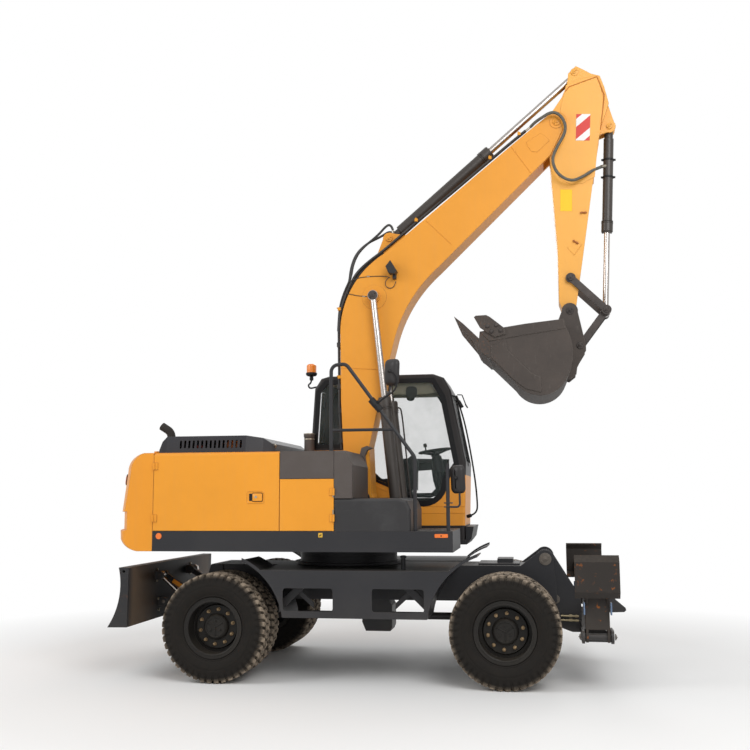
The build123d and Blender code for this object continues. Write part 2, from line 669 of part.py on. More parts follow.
# Revolving deck: floor, side belts, front step, the two main plates that carry the boom
main_plate_y = 190.0
main_plate = 28.0
outer_ear_y = 306.0
ear = 24.0
foot_pin_radius = 45.0
base_pin_radius = 36.0
with BuildPart() as upper_frame:
    with BuildSketch(Plane.XY.offset(ring_split)):
        with Locations((slew_x, 0)):
            Circle(ring_radius)
            Circle(ring_radius - 110, mode=Mode.SUBTRACT)
    extrude(amount=deck_bottom - ring_split)
    with BuildSketch(Plane.XY.offset(deck_bottom)):
        with BuildLine():
            Polyline((weight_front, -body_half), (deck_front, -body_half), (deck_front, -330), (480, -330),
                     (480, 345), (deck_front, 345), (deck_front, body_half), (weight_front, body_half),
                     close=True)
        make_face()
    extrude(amount=deck_thick)
    # the belt runs the whole right side, and on the left ends behind the cab
    for side, belt_front in ((-1, deck_front), (1, cab_rear - 10)):
        with BuildSketch(at_side(side * (body_half - plate / 2) + plate / 2)):
            with Locations(((weight_front + belt_front) / 2, (deck_bottom + belt_top) / 2)):
                Rectangle(belt_front - weight_front, belt_top - deck_bottom)
        extrude(amount=plate)
    for side in (-1, 1):
        with BuildSketch(at_side(side * main_plate_y + main_plate / 2)):
            with BuildLine():
                Polyline((weight_front, deck_bottom), (440, deck_bottom), (430, 1330),
                         (boom_base_pin[0] + 60, boom_base_pin[1] + 50), (-10, 1560),
                         (boom_foot[0] + 95, boom_foot[1]), (boom_foot[0] - 95, boom_foot[1]),
                         (-480, 1500), (weight_front, 1420), close=True)
            make_face()
            with Locations(boom_foot):
                Circle(98)
            with Locations(boom_base_pin):
                Circle(78)
        extrude(amount=main_plate)
        with BuildSketch(at_side(side * outer_ear_y + ear / 2)):
            with BuildLine():
                Polyline((boom_base_pin[0] - 110, deck_bottom), (boom_base_pin[0] + 110, deck_bottom),
                         (boom_base_pin[0] + 70, boom_base_pin[1]), (boom_base_pin[0] - 70, boom_base_pin[1]),
                         close=True)
            make_face()
            with Locations(boom_base_pin):
                Circle(72)
        extrude(amount=ear)
    with BuildSketch(Plane.XY.offset(belt_top - plate)):
        with Locations(((538 + deck_front) / 2, -(body_half + 345) / 2)):
            Rectangle(deck_front - 538, body_half - 345)
    extrude(amount=plate)
    with BuildSketch(Plane.YZ.offset(deck_front - plate)):
        with Locations((-(body_half + 345) / 2, (deck_bottom + belt_top) / 2)):
            Rectangle(body_half - 345, belt_top - deck_bottom)
    extrude(amount=plate)
    # the bumper ahead of the cab, carried by the deck
    with BuildSketch(at_side(body_half - 6)):
        with BuildLine():
            Polyline((deck_front - 40, deck_bottom), (948, deck_bottom), (1004, 1319), (1030, belt_top - 2),
                     (deck_front + 8, belt_top - 2), (deck_front + 8, deck_bottom + deck_thick),
                     (deck_front - 40, deck_bottom + deck_thick), close=True)
        make_face()
    extrude(amount=body_half - cab_right - 12)
    add(bush(boom_foot, foot_pin_radius, -main_plate_y, main_plate_y))
    add(bush(boom_base_pin, base_pin_radius, -outer_ear_y - 14, outer_ear_y + 14))
save(upper_frame, "upper_frame")

# Counterweight: cast, its rear swept round the swing centre
weight_top = body_top
weight_corner = 110.0
weight_notch = (1459.0, 1636.0)
notch_depth = 36.0
with BuildPart() as counterweight:
    with BuildSketch(Plane.XY.offset(deck_bottom)) as plan:
        corner_x = slew_x - sqrt(tail_radius ** 2 - body_half ** 2)
        with BuildLine():
            tail = ThreePointArc((corner_x, -body_half), (slew_x - tail_radius, 0), (corner_x, body_half))
            Polyline(tail @ 1, (weight_front - seat_gap, body_half), (weight_front - seat_gap, -body_half), tail @ 0)
        make_face()
        fillet(plan.vertices().group_by(Axis.X)[0], weight_corner)
    extrude(amount=weight_top - deck_bottom)
    # the tail's upright profile, leaning in towards the top, turned about the swing centre
    with BuildSketch(Plane(origin=(slew_x, 0, 0), x_dir=(-1, 0, 0), z_dir=(0, 1, 0))):
        with BuildLine():
            foot = ThreePointArc((tail_radius - 190, deck_bottom), (tail_radius - 58, deck_bottom + 32),
                                 (tail_radius - 4, deck_bottom + 110))
            lip = Polyline(foot @ 1, (tail_radius, belt_top), (tail_radius - notch_depth, weight_notch[0]),
                           (tail_radius - notch_depth, weight_notch[1]), (tail_radius - 14, weight_notch[1]),
                           (tail_radius - 62, weight_top - 170))
            brow = ThreePointArc(lip @ 1, (tail_radius - 98, weight_top - 60), (tail_radius - 175, weight_top))
            Polyline(brow @ 1, (300, weight_top), (300, deck_bottom), foot @ 0)
        make_face()
    revolve(axis=Axis((slew_x, 0, 0), (0, 0, 1)), mode=Mode.INTERSECT)
save(counterweight, "counterweight")

# Engine: one block on the deck
with BuildPart() as engine_block:
    with BuildSketch(Plane.XY.offset(deck_bottom + deck_thick)):
        with Locations((-1400, 0)):
            Rectangle(900, 330)
    extrude(amount=720)
save(engine_block, "engine_block")

# Side doors and the fixed covers round the engine bay
panel = 30.0
seam = 3.0
post_x = -746.0
house_front = -205.0
band_low = 1950.0
left_door_end = -870.0
hinge_radius = 11.0
Door = namedtuple("Door", "name x_from x_to side top hinge_x")
doors = [Door("door_right_rear", weight_front + seam, post_x - seam, -1, body_top - 8, weight_front + seam),
         Door("door_right_front", post_x + seam, house_front - seam, -1, band_low - seam, house_front - seam),
         Door("door_left", weight_front + seam, left_door_end - seam, 1, body_top - 8, weight_front + seam)]
for door in doors:
    with BuildPart() as leaf:
        with BuildSketch(at_side(door.side * (body_half - panel / 2) + panel / 2)):
            with Locations(((door.x_from + door.x_to) / 2, (belt_top + seam + door.top) / 2)):
                Rectangle(door.x_to - door.x_from, door.top - belt_top - seam)
        extrude(amount=panel)
        if door.top > band_low:
            fillet(leaf.edges().filter_by(Axis.X).group_by(Axis.Z)[-1].sort_by(Axis.Y)[0 if door.side < 0 else -1],
                   panel - 6)
        inward = 1 if door.hinge_x == door.x_from else -1
        for z in (belt_top + 90, door.top - 160):
            with BuildSketch(Plane.XY.offset(z)):
                with Locations((door.hinge_x, door.side * (body_half + hinge_radius))):
                    Circle(hinge_radius)
                with Locations((door.hinge_x + inward * 20, door.side * (body_half + 4))):
                    Rectangle(40, 8)
            extrude(amount=70)
    save(leaf, door.name)

hood_rear = -2127.0
hood_front = -921.0
hood_half = 900.0
bay_half = 340.0
bay_front = -520.0
wall = 14.0
with BuildPart() as top_cover:
    with BuildSketch(Plane.XY.offset(body_top - 28)):
        with BuildLine():
            Polyline((weight_front + 3, -body_half + panel + seat_gap), (house_front, -body_half + panel + seat_gap),
                     (house_front, -bay_half), (bay_front, -bay_half), (bay_front, bay_half),
                     (left_door_end, bay_half),
                     (left_door_end, body_half - panel - seat_gap), (weight_front + 3, body_half - panel - seat_gap),
                     close=True)
        make_face()
        with Locations(((-1960 - 1240) / 2, 0)):
            Rectangle(1960 - 1240, 2 * hood_half - 160, mode=Mode.SUBTRACT)
    extrude(amount=28)
    # walls from the deck up to the cover; the one across the bay is cut out over the main plates
    for x, y_from, y_to in ((post_x, -body_half + panel + seat_gap, -bay_half),
                            (house_front - wall, -body_half + panel + seat_gap, -bay_half),
                            (left_door_end - wall, bay_half, body_half - panel - seat_gap),
                            (bay_front - wall, -bay_half, bay_half)):
        with BuildSketch(Plane.YZ.offset(x)):
            with Locations(((y_from + y_to) / 2, (deck_bottom + deck_thick + body_top) / 2)):
                Rectangle(y_to - y_from, body_top - deck_bottom - deck_thick)
            with Locations((0, deck_bottom + deck_thick + 105)):
                Rectangle(2 * main_plate_y + 50, 210, mode=Mode.SUBTRACT)
        extrude(amount=wall)
    for y, x_from, x_to in ((-bay_half + wall, bay_front - wall, house_front),
                            (bay_half, left_door_end - wall, bay_front)):
        with BuildSketch(at_side(y)):
            with Locations(((x_from + x_to) / 2, (deck_bottom + deck_thick + body_top) / 2)):
                Rectangle(x_to - x_from, body_top - deck_bottom - deck_thick)
        extrude(amount=wall)
save(top_cover, "top_cover")

# Dark covers by the boom: the band over the front door and the rounded corner box
tank_y = 345.0
tank_top = 1758.0
intake = (-807.0, 270.0)
guard_y = -240.0
guard_wide = 78.0
guard_foot = deck_bottom + deck_thick + seat_gap
with BuildPart() as dark_covers:
    with BuildSketch(at_side(-body_half + panel)):
        with Locations(((post_x + house_front) / 2, (band_low + body_top) / 2)):
            Rectangle(house_front - post_x - 2 * seam, body_top - band_low)
    extrude(amount=panel)
    with BuildSketch(at_side(-tank_y)):
        with BuildLine():
            Polyline((house_front + seat_gap, tank_top + seat_gap), (-29, tank_top + seat_gap), (-29, 2080),
                     (-97, body_top), (house_front + seat_gap, body_top), close=True)
        make_face()
    extrude(amount=body_half - tank_y)
    fillet(dark_covers.edges().filter_by(Axis.X).group_by(Axis.Z)[-1].sort_by(Axis.Y)[0], panel - 6)
    # the air intake behind the cab, and the curved guard beside the boom
    with BuildSketch(Plane.XY.offset(body_top + seat_gap)):
        with Locations(intake):
            Circle(58)
    extrude(amount=230)
    with BuildSketch(Plane.XY.offset(body_top + seat_gap + 230)):
        with Locations(intake):
            Circle(64)
    extrude(amount=34)
    with BuildSketch(at_side(guard_y)):
        with BuildLine():
            Polyline((-180, guard_foot), (-150, 1769), (-102, 1916), (-52, 2089), (-70, 2200),
                     (-43, 2263), (20, 2289), (-43, 2311), (-102, 2290), (-127, 2194), (-187, 1986),
                     (-232, 1769), (-270, guard_foot), close=True)
        make_face()
    extrude(amount=guard_wide)
save(dark_covers, "dark_covers")

# Tank and tool box on the right, ahead of the corner box
with BuildPart() as tool_box:
    with BuildSketch(at_side(-tank_y)):
        with BuildLine():
            Polyline((house_front + seam, belt_top + seat_gap), (536, belt_top + seat_gap), (536, 1650), (500, 1735),
                     (430, tank_top), (house_front + seam, tank_top), close=True)
        make_face()
    extrude(amount=body_half - tank_y)
    outer = tool_box.faces().sort_by(Axis.Y)[0].edges()
    fillet(outer.filter_by(lambda e: e.center().Z > belt_top + 60 and e.center().X > house_front + 60), 34)
save(tool_box, "tool_box")

# Engine hood: a hollow lid with sloping sides and a tapering nose, hinged at the nose's foot
hood_top = 2405.0
hood_wall = 16.0
slot_count = 15
slot_pitch = 46.0
slot_first = -1901.0
slot_z = 2318.0
slot_long = 84.0
slot_wide = 24.0
Section = namedtuple("Section", "x half z")
hood_sections = [Section(hood_rear, hood_half, 2262), Section(-2100, hood_half, 2350), Section(-2054, hood_half - 6, hood_top),
                 Section(-1206, hood_half - 6, hood_top), Section(-1040, hood_half - 60, 2380),
                 Section(-958, hood_half - 120, 2325), Section(hood_front, hood_half - 150, 2246)]


def hood_ring(section, inset):
    """The hood's cross-section at one x: upright at the foot, leaning in above."""
    half = section.half - inset
    top = section.z - inset
    with BuildSketch(Plane.YZ.offset(section.x), mode=Mode.PRIVATE) as ring:
        with BuildLine():
            foot = body_top + seat_gap - (1 if inset else 0)
            Polyline((-half, foot), (half, foot), (half - 34 * (top - body_top) / 187, top),
                     (-half + 34 * (top - body_top) / 187, top), close=True)
        make_face()
    return ring.sketch


with BuildPart() as engine_hood:
    loft([hood_ring(section, 0) for section in hood_sections], ruled=True)
    loft([hood_ring(Section(section.x + shift, section.half, section.z), hood_wall)
          for section, shift in zip(hood_sections, (hood_wall, hood_wall / 2, 4, 0, -4, -hood_wall / 2, -hood_wall))],
         ruled=True, mode=Mode.SUBTRACT)
    for side in (-1, 1):
        with BuildSketch(at_side(side * hood_half + 60)):
            for step in range(slot_count):
                with Locations((slot_first + step * slot_pitch, slot_z)):
                    SlotOverall(slot_long, slot_wide, rotation=90)
        extrude(amount=120, mode=Mode.SUBTRACT)
    for y in (-500, 500):
        add(bush((hood_front + 6, body_top + 16), 11, y - 40, y + 40))
save(engine_hood, "engine_hood")

# Exhaust stack, bent to the rear at its tip
exhaust_radius = 44.0
with BuildPart() as exhaust:
    with BuildLine() as flue:
        FilletPolyline((-2190, -400, weight_top), (-2190, -400, 2480), (-2300, -400, 2550), radius=90)
    with BuildSketch(Plane(origin=flue.line @ 0, z_dir=flue.line % 0)):
        Circle(exhaust_radius)
    sweep()
save(exhaust, "exhaust")

# Cab: a hollow welded shell with its windows cut and the doorway open on the left
cab_left = body_half
cab_wall = 42.0
cab_round = 30.0
cab_floor = deck_bottom + deck_thick
cab_front = 956.0
roof_z = 3150.0
glass = 6.0
doorway = [(-300, 1400), (-300, 2960), (-240, 3040), (600, 3040), (690, 2900), (850, 2150), (850, 1400)]


def cab_profile(inset):
    """The cab's side outline, drawn in by the wall's thickness where the inside is wanted."""
    with BuildSketch(at_side(cab_left - inset), mode=Mode.PRIVATE) as outline:
        with BuildLine():
            Polyline((cab_rear, cab_floor), (cab_rear - 3, 2343), (-765, 3010), (-690, 3125), (-600, roof_z),
                     (600, roof_z), (720, 3105), (800, 2960), (cab_front, 2154), (cab_front - 22, 1442),
                     (cab_front - 22, cab_floor), close=True)
        make_face()
        fillet(outline.vertices().filter_by(lambda v: v.Z > 2900 and v.X > 0), 70)
        fillet(outline.vertices().filter_by(lambda v: v.Z > 2990 and v.X < 0), 50)
        fillet(outline.vertices().filter_by(lambda v: abs(v.Z - 2154) < 1), 120)
        if inset:
            offset(amount=-inset, mode=Mode.REPLACE, kind=Kind.INTERSECTION)
    return outline.sketch


def right_pane():
    with BuildSketch(at_side(cab_right + cab_wall), mode=Mode.PRIVATE) as outline:
        with BuildLine():
            Polyline((-150, 3060), (-150, 2030), (80, 1938), (270, 1839))
            belly = ThreePointArc((270, 1839), (495, 1716), (700, 1958))
            Polyline((700, 1958), (830, 2140), (690, 2880), (590, 3060), (-150, 3060))
        make_face()
    return outline.sketch


def quarter_pane():
    with BuildSketch(at_side(cab_right + cab_wall), mode=Mode.PRIVATE) as outline:
        with BuildLine():
            Polyline((-215, 3060), (-620, 3060), (-700, 2960), (-735, 2360), (-215, 2360), close=True)
        make_face()
    return outline.sketch


def door_leaf(inset):
    with BuildSketch(at_side(cab_left), mode=Mode.PRIVATE) as outline:
        with BuildLine():
            Polyline(*doorway, close=True)
        make_face()
        if inset:
            offset(amount=-inset, mode=Mode.REPLACE, kind=Kind.INTERSECTION)
    return outline.sketch


def door_pane():
    with BuildSketch(at_side(cab_left), mode=Mode.PRIVATE) as outline:
        with BuildLine():
            Polyline((-225, 2080), (-225, 2950), (-180, 2975), (560, 2975), (625, 2870), (770, 2170), (770, 2080),
                     (520, 1760), (120, 1760), close=True)
        make_face()
    return outline.sketch


front_pane = (cab_right + 75, cab_left - 75)
front_slope = Plane(origin=(cab_front, 0, 2154), x_dir=(0, 1, 0),
                    z_dir=Vector(2960 - 2154, 0, cab_front - 800).normalized())
pane_rise = hypot(2960 - 2154, cab_front - 800)
with BuildPart() as cab_shell:
    extrude(cab_profile(0), amount=cab_left - cab_right)
    rims = cab_shell.faces().sort_by(Axis.Y)[0].edges() + cab_shell.faces().sort_by(Axis.Y)[-1].edges()
    fillet(rims.filter_by(lambda e: e.center().Z > cab_floor + 30), cab_round)
    extrude(cab_profile(cab_wall), amount=cab_left - cab_right - 2 * cab_wall, mode=Mode.SUBTRACT)
    extrude(right_pane(), amount=cab_wall + 1, mode=Mode.SUBTRACT)
    extrude(quarter_pane(), amount=cab_wall + 1, mode=Mode.SUBTRACT)
    extrude(door_leaf(0), amount=cab_wall + 1, mode=Mode.SUBTRACT)
    with BuildSketch(front_slope):
        with Locations((sum(front_pane) / 2, pane_rise / 2 - 20)):
            Rectangle(front_pane[1] - front_pane[0], pane_rise - 60)
    extrude(amount=-cab_wall * 2, mode=Mode.SUBTRACT)
    with BuildSketch(Plane.YZ.offset(cab_rear - 10)):
        with Locations((sum(front_pane) / 2, 2700)):
            Rectangle(front_pane[1] - front_pane[0], 600)
    extrude(amount=cab_wall * 3, mode=Mode.SUBTRACT)
save(cab_shell, "cab_shell")

with BuildPart() as cab_glass:
    for pane in (right_pane(), quarter_pane()):
        extrude(pane.moved(Location((0, -cab_wall + 10, 0))), amount=glass)
    with BuildSketch(front_slope.offset(-10)):
        with Locations((sum(front_pane) / 2, pane_rise / 2 - 20)):
            Rectangle(front_pane[1] - front_pane[0], pane_rise - 60)
    extrude(amount=-glass)
    with BuildSketch(Plane.YZ.offset(cab_rear + 30)):
        with Locations((sum(front_pane) / 2, 2700)):
            Rectangle(front_pane[1] - front_pane[0], 600)
    extrude(amount=glass)
save(cab_glass, "cab_glass")

with BuildPart() as cab_door:
    extrude(door_leaf(6), amount=cab_wall)
    extrude(door_pane(), amount=cab_wall, mode=Mode.SUBTRACT)
    for z in (1520, 2780):
        with BuildSketch(Plane.XY.offset(z)):
            with Locations((doorway[0][0], cab_left + hinge_radius)):
                Circle(hinge_radius)
            with Locations((doorway[0][0] + 22, cab_left + 4)):
                Rectangle(44, 8)
        extrude(amount=80)
save(cab_door, "cab_door")

with BuildPart() as door_glass:
    extrude(door_pane().moved(Location((0, -10, 0))), amount=glass)
save(door_glass, "door_glass")

# Inside the cab: seat on its base, side consoles, steering column
seat_x = -60.0
cab_middle = (cab_right + cab_left) / 2
floor_inside = cab_floor + cab_wall
column_x = 700.0
column_length = 800.0
with BuildPart() as cab_interior:
    with BuildSketch(Plane.XY.offset(floor_inside)):
        with Locations((seat_x, cab_middle)):
            Rectangle(420, 400)
    extrude(amount=330)
    with BuildSketch(Plane.XY.offset(floor_inside + 330)):
        with Locations((seat_x, cab_middle)):
            RectangleRounded(520, 500, 60)
    extrude(amount=120)
    with BuildSketch(at_side(cab_middle + 230)):
        with BuildLine():
            Polyline((seat_x - 250, floor_inside + 430), (seat_x - 130, floor_inside + 430),
                     (seat_x - 220, floor_inside + 1180), (seat_x - 330, floor_inside + 1180), close=True)
        make_face()
    extrude(amount=460)
    for side in (-1, 1):
        with BuildSketch(Plane.XY.offset(floor_inside)):
            with Locations((seat_x + 60, cab_middle + side * 320)):
                Rectangle(560, 120)
        extrude(amount=560)
    # the floor mat joins seat, consoles and steering column
    with BuildSketch(Plane.XY.offset(floor_inside)):
        with Locations(((seat_x - 210 + column_x + 90) / 2, cab_middle)):
            Rectangle(column_x + 90 - seat_x + 210, 740)
    extrude(amount=30)
    column = Plane(origin=(column_x, cab_middle, floor_inside + 20), x_dir=(0, 1, 0), z_dir=(-0.28, 0, 0.96))
    with BuildSketch(column):
        Circle(60)
    extrude(amount=column_length)
    with BuildSketch(column.offset(column_length)):
        Circle(190)
        Circle(165, mode=Mode.SUBTRACT)
        Rectangle(340, 30)
    extrude(amount=26)
save(cab_interior, "cab_interior")

# Handrails and posts on the right, of bent tube
rail_radius = 18.0
rail_y = -1195.0
rail_top = 3033.0
post_top = 2080.0
mirror_rod = 10.0
low_mirror = (1000.0, rail_y, 1933.0)
high_mirror = (322.0, rail_y + 110, 3000.0)
with BuildPart() as handrails:
    with BuildLine() as bent:
        FilletPolyline((-244, rail_y, body_top), (-244, rail_y, rail_top + 25), (-95, rail_y, rail_top + 35),
                       (574, rail_y, 2150), (574, rail_y, belt_top), radius=70)
    with BuildSketch(Plane(origin=bent.line @ 0, z_dir=bent.line % 0)):
        Circle(rail_radius)
    sweep()
    with BuildSketch(Plane.YZ.offset(-244)):
        with Locations((rail_y, 2418)):
            Circle(rail_radius - 3)
    extrude(amount=244 + 378)
    with BuildSketch(Plane.XY.offset(belt_top)):
        with Locations((888, rail_y)):
            Circle(rail_radius)
    extrude(amount=post_top - belt_top)
    for z in (1668, 1705):
        with BuildSketch(Plane.XY.offset(z)):
            with Locations((892, rail_y)):
                Rectangle(80, 44)
        extrude(amount=12)
    with BuildLine() as arm_line:
        FilletPolyline((888, rail_y, 1674), (low_mirror[0], rail_y, 1674), (low_mirror[0], rail_y, 1840), radius=30)
    with BuildSketch(Plane(origin=arm_line.line @ 0, z_dir=arm_line.line % 0)):
        Circle(mirror_rod)
    sweep()
    with BuildLine() as high_line:
        FilletPolyline((190, rail_y, 2657), (high_mirror[0], high_mirror[1], 2790),
                       (high_mirror[0], high_mirror[1], 2910), radius=50)
    with BuildSketch(Plane(origin=high_line.line @ 0, z_dir=high_line.line % 0)):
        Circle(mirror_rod)
    sweep()
save(handrails, "handrails")

# Mirror heads on the right, and the beacon on its bracket at the cab's rear
with BuildPart() as mirrors:
    for (x, y, z), width, height in ((low_mirror, 160, 274), (high_mirror, 182, 255)):
        with BuildSketch(Plane.YZ.offset(x - 45)):
            with Locations((y, z)):
                RectangleRounded(width, height, 45)
        extrude(amount=90)
        with BuildSketch(Plane.XY.offset(z - height)):
            with Locations((x, y)):
                Circle(mirror_rod + pin_gap)
        extrude(amount=height, mode=Mode.SUBTRACT)
save(mirrors, "mirrors")

with BuildPart() as beacon:
    with BuildSketch(Plane.YZ.offset(-875)):
        with Locations((600, 3060)):
            Rectangle(60, 40)
    extrude(amount=129)
    with BuildSketch(Plane.XY.offset(3040)):
        with Locations((-862, 600)):
            Circle(12)
    extrude(amount=150)
    with BuildSketch(Plane.XY.offset(3190)):
        with Locations((-862, 600)):
            Circle(66)
    extrude(amount=40)
    with BuildSketch(Plane.XY.offset(3230)):
        with Locations((-862, 600)):
            Circle(60)
    extrude(amount=105, taper=6)
save(beacon, "beacon")

# Boom: one cranked box beam with a fork at its tip
fork_inner = arm_half + 6
fork_depth = 395.0
tip_radius = 112.0
with BuildPart() as boom:
    with BuildSketch(at_side(boom_half)):
        with BuildLine():
            Polyline((-240, 1745), (-327, 2277), (-352, 2819), (-360, 3590))
            ThreePointArc((-360, 3590), (-252, 4020), (133, 4431))
            Polyline((133, 4431), (1690, 5690), (1960, 5898), (2110, 5740), (1960, 5440), (725, 4248))
            ThreePointArc((725, 4248), (420, 3890), (237, 3460))
            Polyline((237, 3460), (46, 2703), (-43, 2317), (-20, 1745), (-240, 1745))
        make_face()
        with Locations(boom_foot):
            Circle(125)
        with Locations(boom_tip):
            Circle(tip_radius)
    extrude(amount=2 * boom_half)
    # the fork's slot, open to the tip
    with BuildSketch(at_side(fork_inner)):
        with Locations(boom_tip):
            Rectangle(2 * fork_depth, 2 * fork_depth, rotation=39)
    extrude(amount=2 * fork_inner, mode=Mode.SUBTRACT)
    # bored for the foot pin, pinned at the tip
    add(bush(boom_foot, foot_pin_radius + pin_gap, -boom_half - 1, boom_half + 1), mode=Mode.SUBTRACT)
    add(bush(boom_tip, foot_pin_radius - 5, -boom_half - 8, boom_half + 8))
    for center, radius, rise in ((boom_rod_pin, 136, 5), (boom_rod_pin, 66, 30), (boom_tip, 74, 6)):
        for side in (-1, 1):
            add(bush(center, radius, *sorted((side * (boom_half - 2), side * (boom_half + rise)))))
    # the arm cylinder's ears on the back
    for y in (-75, 51):
        with BuildSketch(at_side(y + 24)):
            with BuildLine():
                Polyline((-40, 4240), (arm_base_pin[0] - 70, arm_base_pin[1]), (arm_base_pin[0] + 40, arm_base_pin[1] + 60),
                         (420, 4640), close=True)
            make_face()
            with Locations(arm_base_pin):
                Circle(72)
        extrude(amount=24)
    add(bush(arm_base_pin, 32, -85, 85))
save(boom, "boom")

# Work lamp on a bracket on the boom's right side
lamp_at = (232.0, 4245.0)
lamp_foot = (250.0, 4160.0)
with BuildPart() as work_lamp:
    with BuildSketch(at_side(-boom_half - seat_gap)):
        with Locations(lamp_foot):
            Rectangle(36, 60)
    extrude(amount=60)
    with BuildSketch(at_side(-boom_half - 30)):
        with BuildLine():
            Polyline((lamp_at[0] - 66, lamp_at[1] + 10), (lamp_at[0] - 14, lamp_at[1] + 76),
                     (lamp_at[0] + 56, lamp_at[1] - 42), (lamp_at[0] + 34, lamp_at[1] - 76),
                     (lamp_at[0] - 36, lamp_at[1] - 64), close=True)
        make_face()
    extrude(amount=104)
save(work_lamp, "work_lamp")

barrel, rod = hydraulic(base=(boom_base_pin[0], 0, boom_base_pin[1]), rod=(boom_rod_pin[0], 0, boom_rod_pin[1]),
                        pin_dir=(0, 1, 0), shifts=(-boom_cylinder_y, boom_cylinder_y), barrel_radius=62,
                        rod_radius=36, closed=1500, base_half=42, rod_half=34, pin_radius=base_pin_radius,
                        neck=112)
save(barrel, "boom_barrels")
save(rod, "boom_rods")

barrel, rod = hydraulic(base=(arm_base_pin[0], 0, arm_base_pin[1]), rod=(arm_rod_pin[0], 0, arm_rod_pin[1]),
                        pin_dir=(0, 1, 0), shifts=(0,), barrel_radius=64, rod_radius=38, closed=1540,
                        base_half=48, rod_half=36, pin_radius=32, neck=150)
save(barrel, "arm_barrel")
save(rod, "arm_rod")

# Arm: a tapering box with the bucket cylinder's ears at its heel
with BuildPart() as arm:
    with BuildSketch(at_side(arm_half)):
        with BuildLine():
            Polyline((2161, 6240), (2178, 6370), (2262, 6449), (2345, 6400), (2420, 6350), (2515, 6318),
                     (2560, 6180), (2600, 6000), (2540, 5830), (2490, 5700), (2477, 5543), (2413, 5190),
                     (2282, 4360), (2185, 3760), (2054, 3700), (2010, 3830), (2010, 4373),
                     (1950, 5450), (1935, 5640), (1960, 5900), (2100, 6100), close=True)
        make_face()
        with Locations(bucket_pin):
            Circle(78)
    extrude(amount=2 * arm_half)
    for y in (-76, 52):
        with BuildSketch(at_side(y + 24)):
            with BuildLine():
                Polyline((2500, 6330), (bucket_base_pin[0] + 62, bucket_base_pin[1] + 10),
                         (bucket_base_pin[0] - 30, bucket_base_pin[1] - 66), (2480, 5660), close=True)
            make_face()
            with Locations(bucket_base_pin):
                Circle(68)
        extrude(amount=24)
    # the head's slot for the arm cylinder's eye, and the room round the bucket cylinder's eye
    with BuildSketch(at_side(50)):
        with BuildLine():
            x, z = arm_rod_pin
            Polyline((x + 62, z + 200), (x + 62, z - 110), (x + 30, z - 205), (x - 20, z - 224), (x - 300, z - 224),
                     (x - 300, z + 200), close=True)
        make_face()
        with Locations(bucket_base_pin):
            Circle(110)
    extrude(amount=100, mode=Mode.SUBTRACT)
    add(bush(bucket_base_pin, 32, -84, 84))
    add(bush(link_arm_pin, 32, -arm_half - 44, arm_half + 44))
    add(bush(bucket_pin, 38, -arm_half - 34, arm_half + 34))
    add(bush(boom_tip, foot_pin_radius - 5 + pin_gap, -arm_half - 1, arm_half + 1), mode=Mode.SUBTRACT)
save(arm, "arm")

barrel, rod = hydraulic(base=(bucket_base_pin[0], 0, bucket_base_pin[1]), rod=(link_joint[0], 0, link_joint[1]),
                        pin_dir=(0, 1, 0), shifts=(0,), barrel_radius=54, rod_radius=32, closed=1225,
                        base_half=48, rod_half=34, pin_radius=32, neck=120)
save(barrel, "bucket_barrel")
save(rod, "bucket_rod")

# Side links from the arm, and the link from their joint to the bucket
plate_link = 22.0
link_y = arm_half + 14
Link = namedtuple("Link", "name start stop y radius")
for link in (Link("side_links", link_arm_pin, link_joint, link_y, 52),
             Link("bucket_link", link_joint, bucket_ear, arm_half - 28, 50)):
    reach = hypot(link.stop[0] - link.start[0], link.stop[1] - link.start[1])
    rise = degrees(atan2(link.stop[1] - link.start[1], link.stop[0] - link.start[0]))
    with BuildPart() as pair:
        for side in (-1, 1):
            inner = side * link.y if side > 0 else side * link.y - plate_link
            with BuildSketch(at_side(inner + plate_link)):
                with Locations(((link.start[0] + link.stop[0]) / 2, (link.start[1] + link.stop[1]) / 2)):
                    Rectangle(reach, 74, rotation=rise)
                with Locations(link.start, link.stop):
                    Circle(link.radius)
                with Locations(link.start):
                    Circle(32 + pin_gap, mode=Mode.SUBTRACT)
            extrude(amount=plate_link)
        if link.name == "side_links":
            for y_from, y_to in ((-link_y - plate_link, -46), (46, link_y + plate_link)):
                add(bush(link_joint, 32, y_from, y_to))
        else:
            add(bush(bucket_ear, 30, -link.y - plate_link - 6, link.y + plate_link + 6))
    save(pair, link.name)

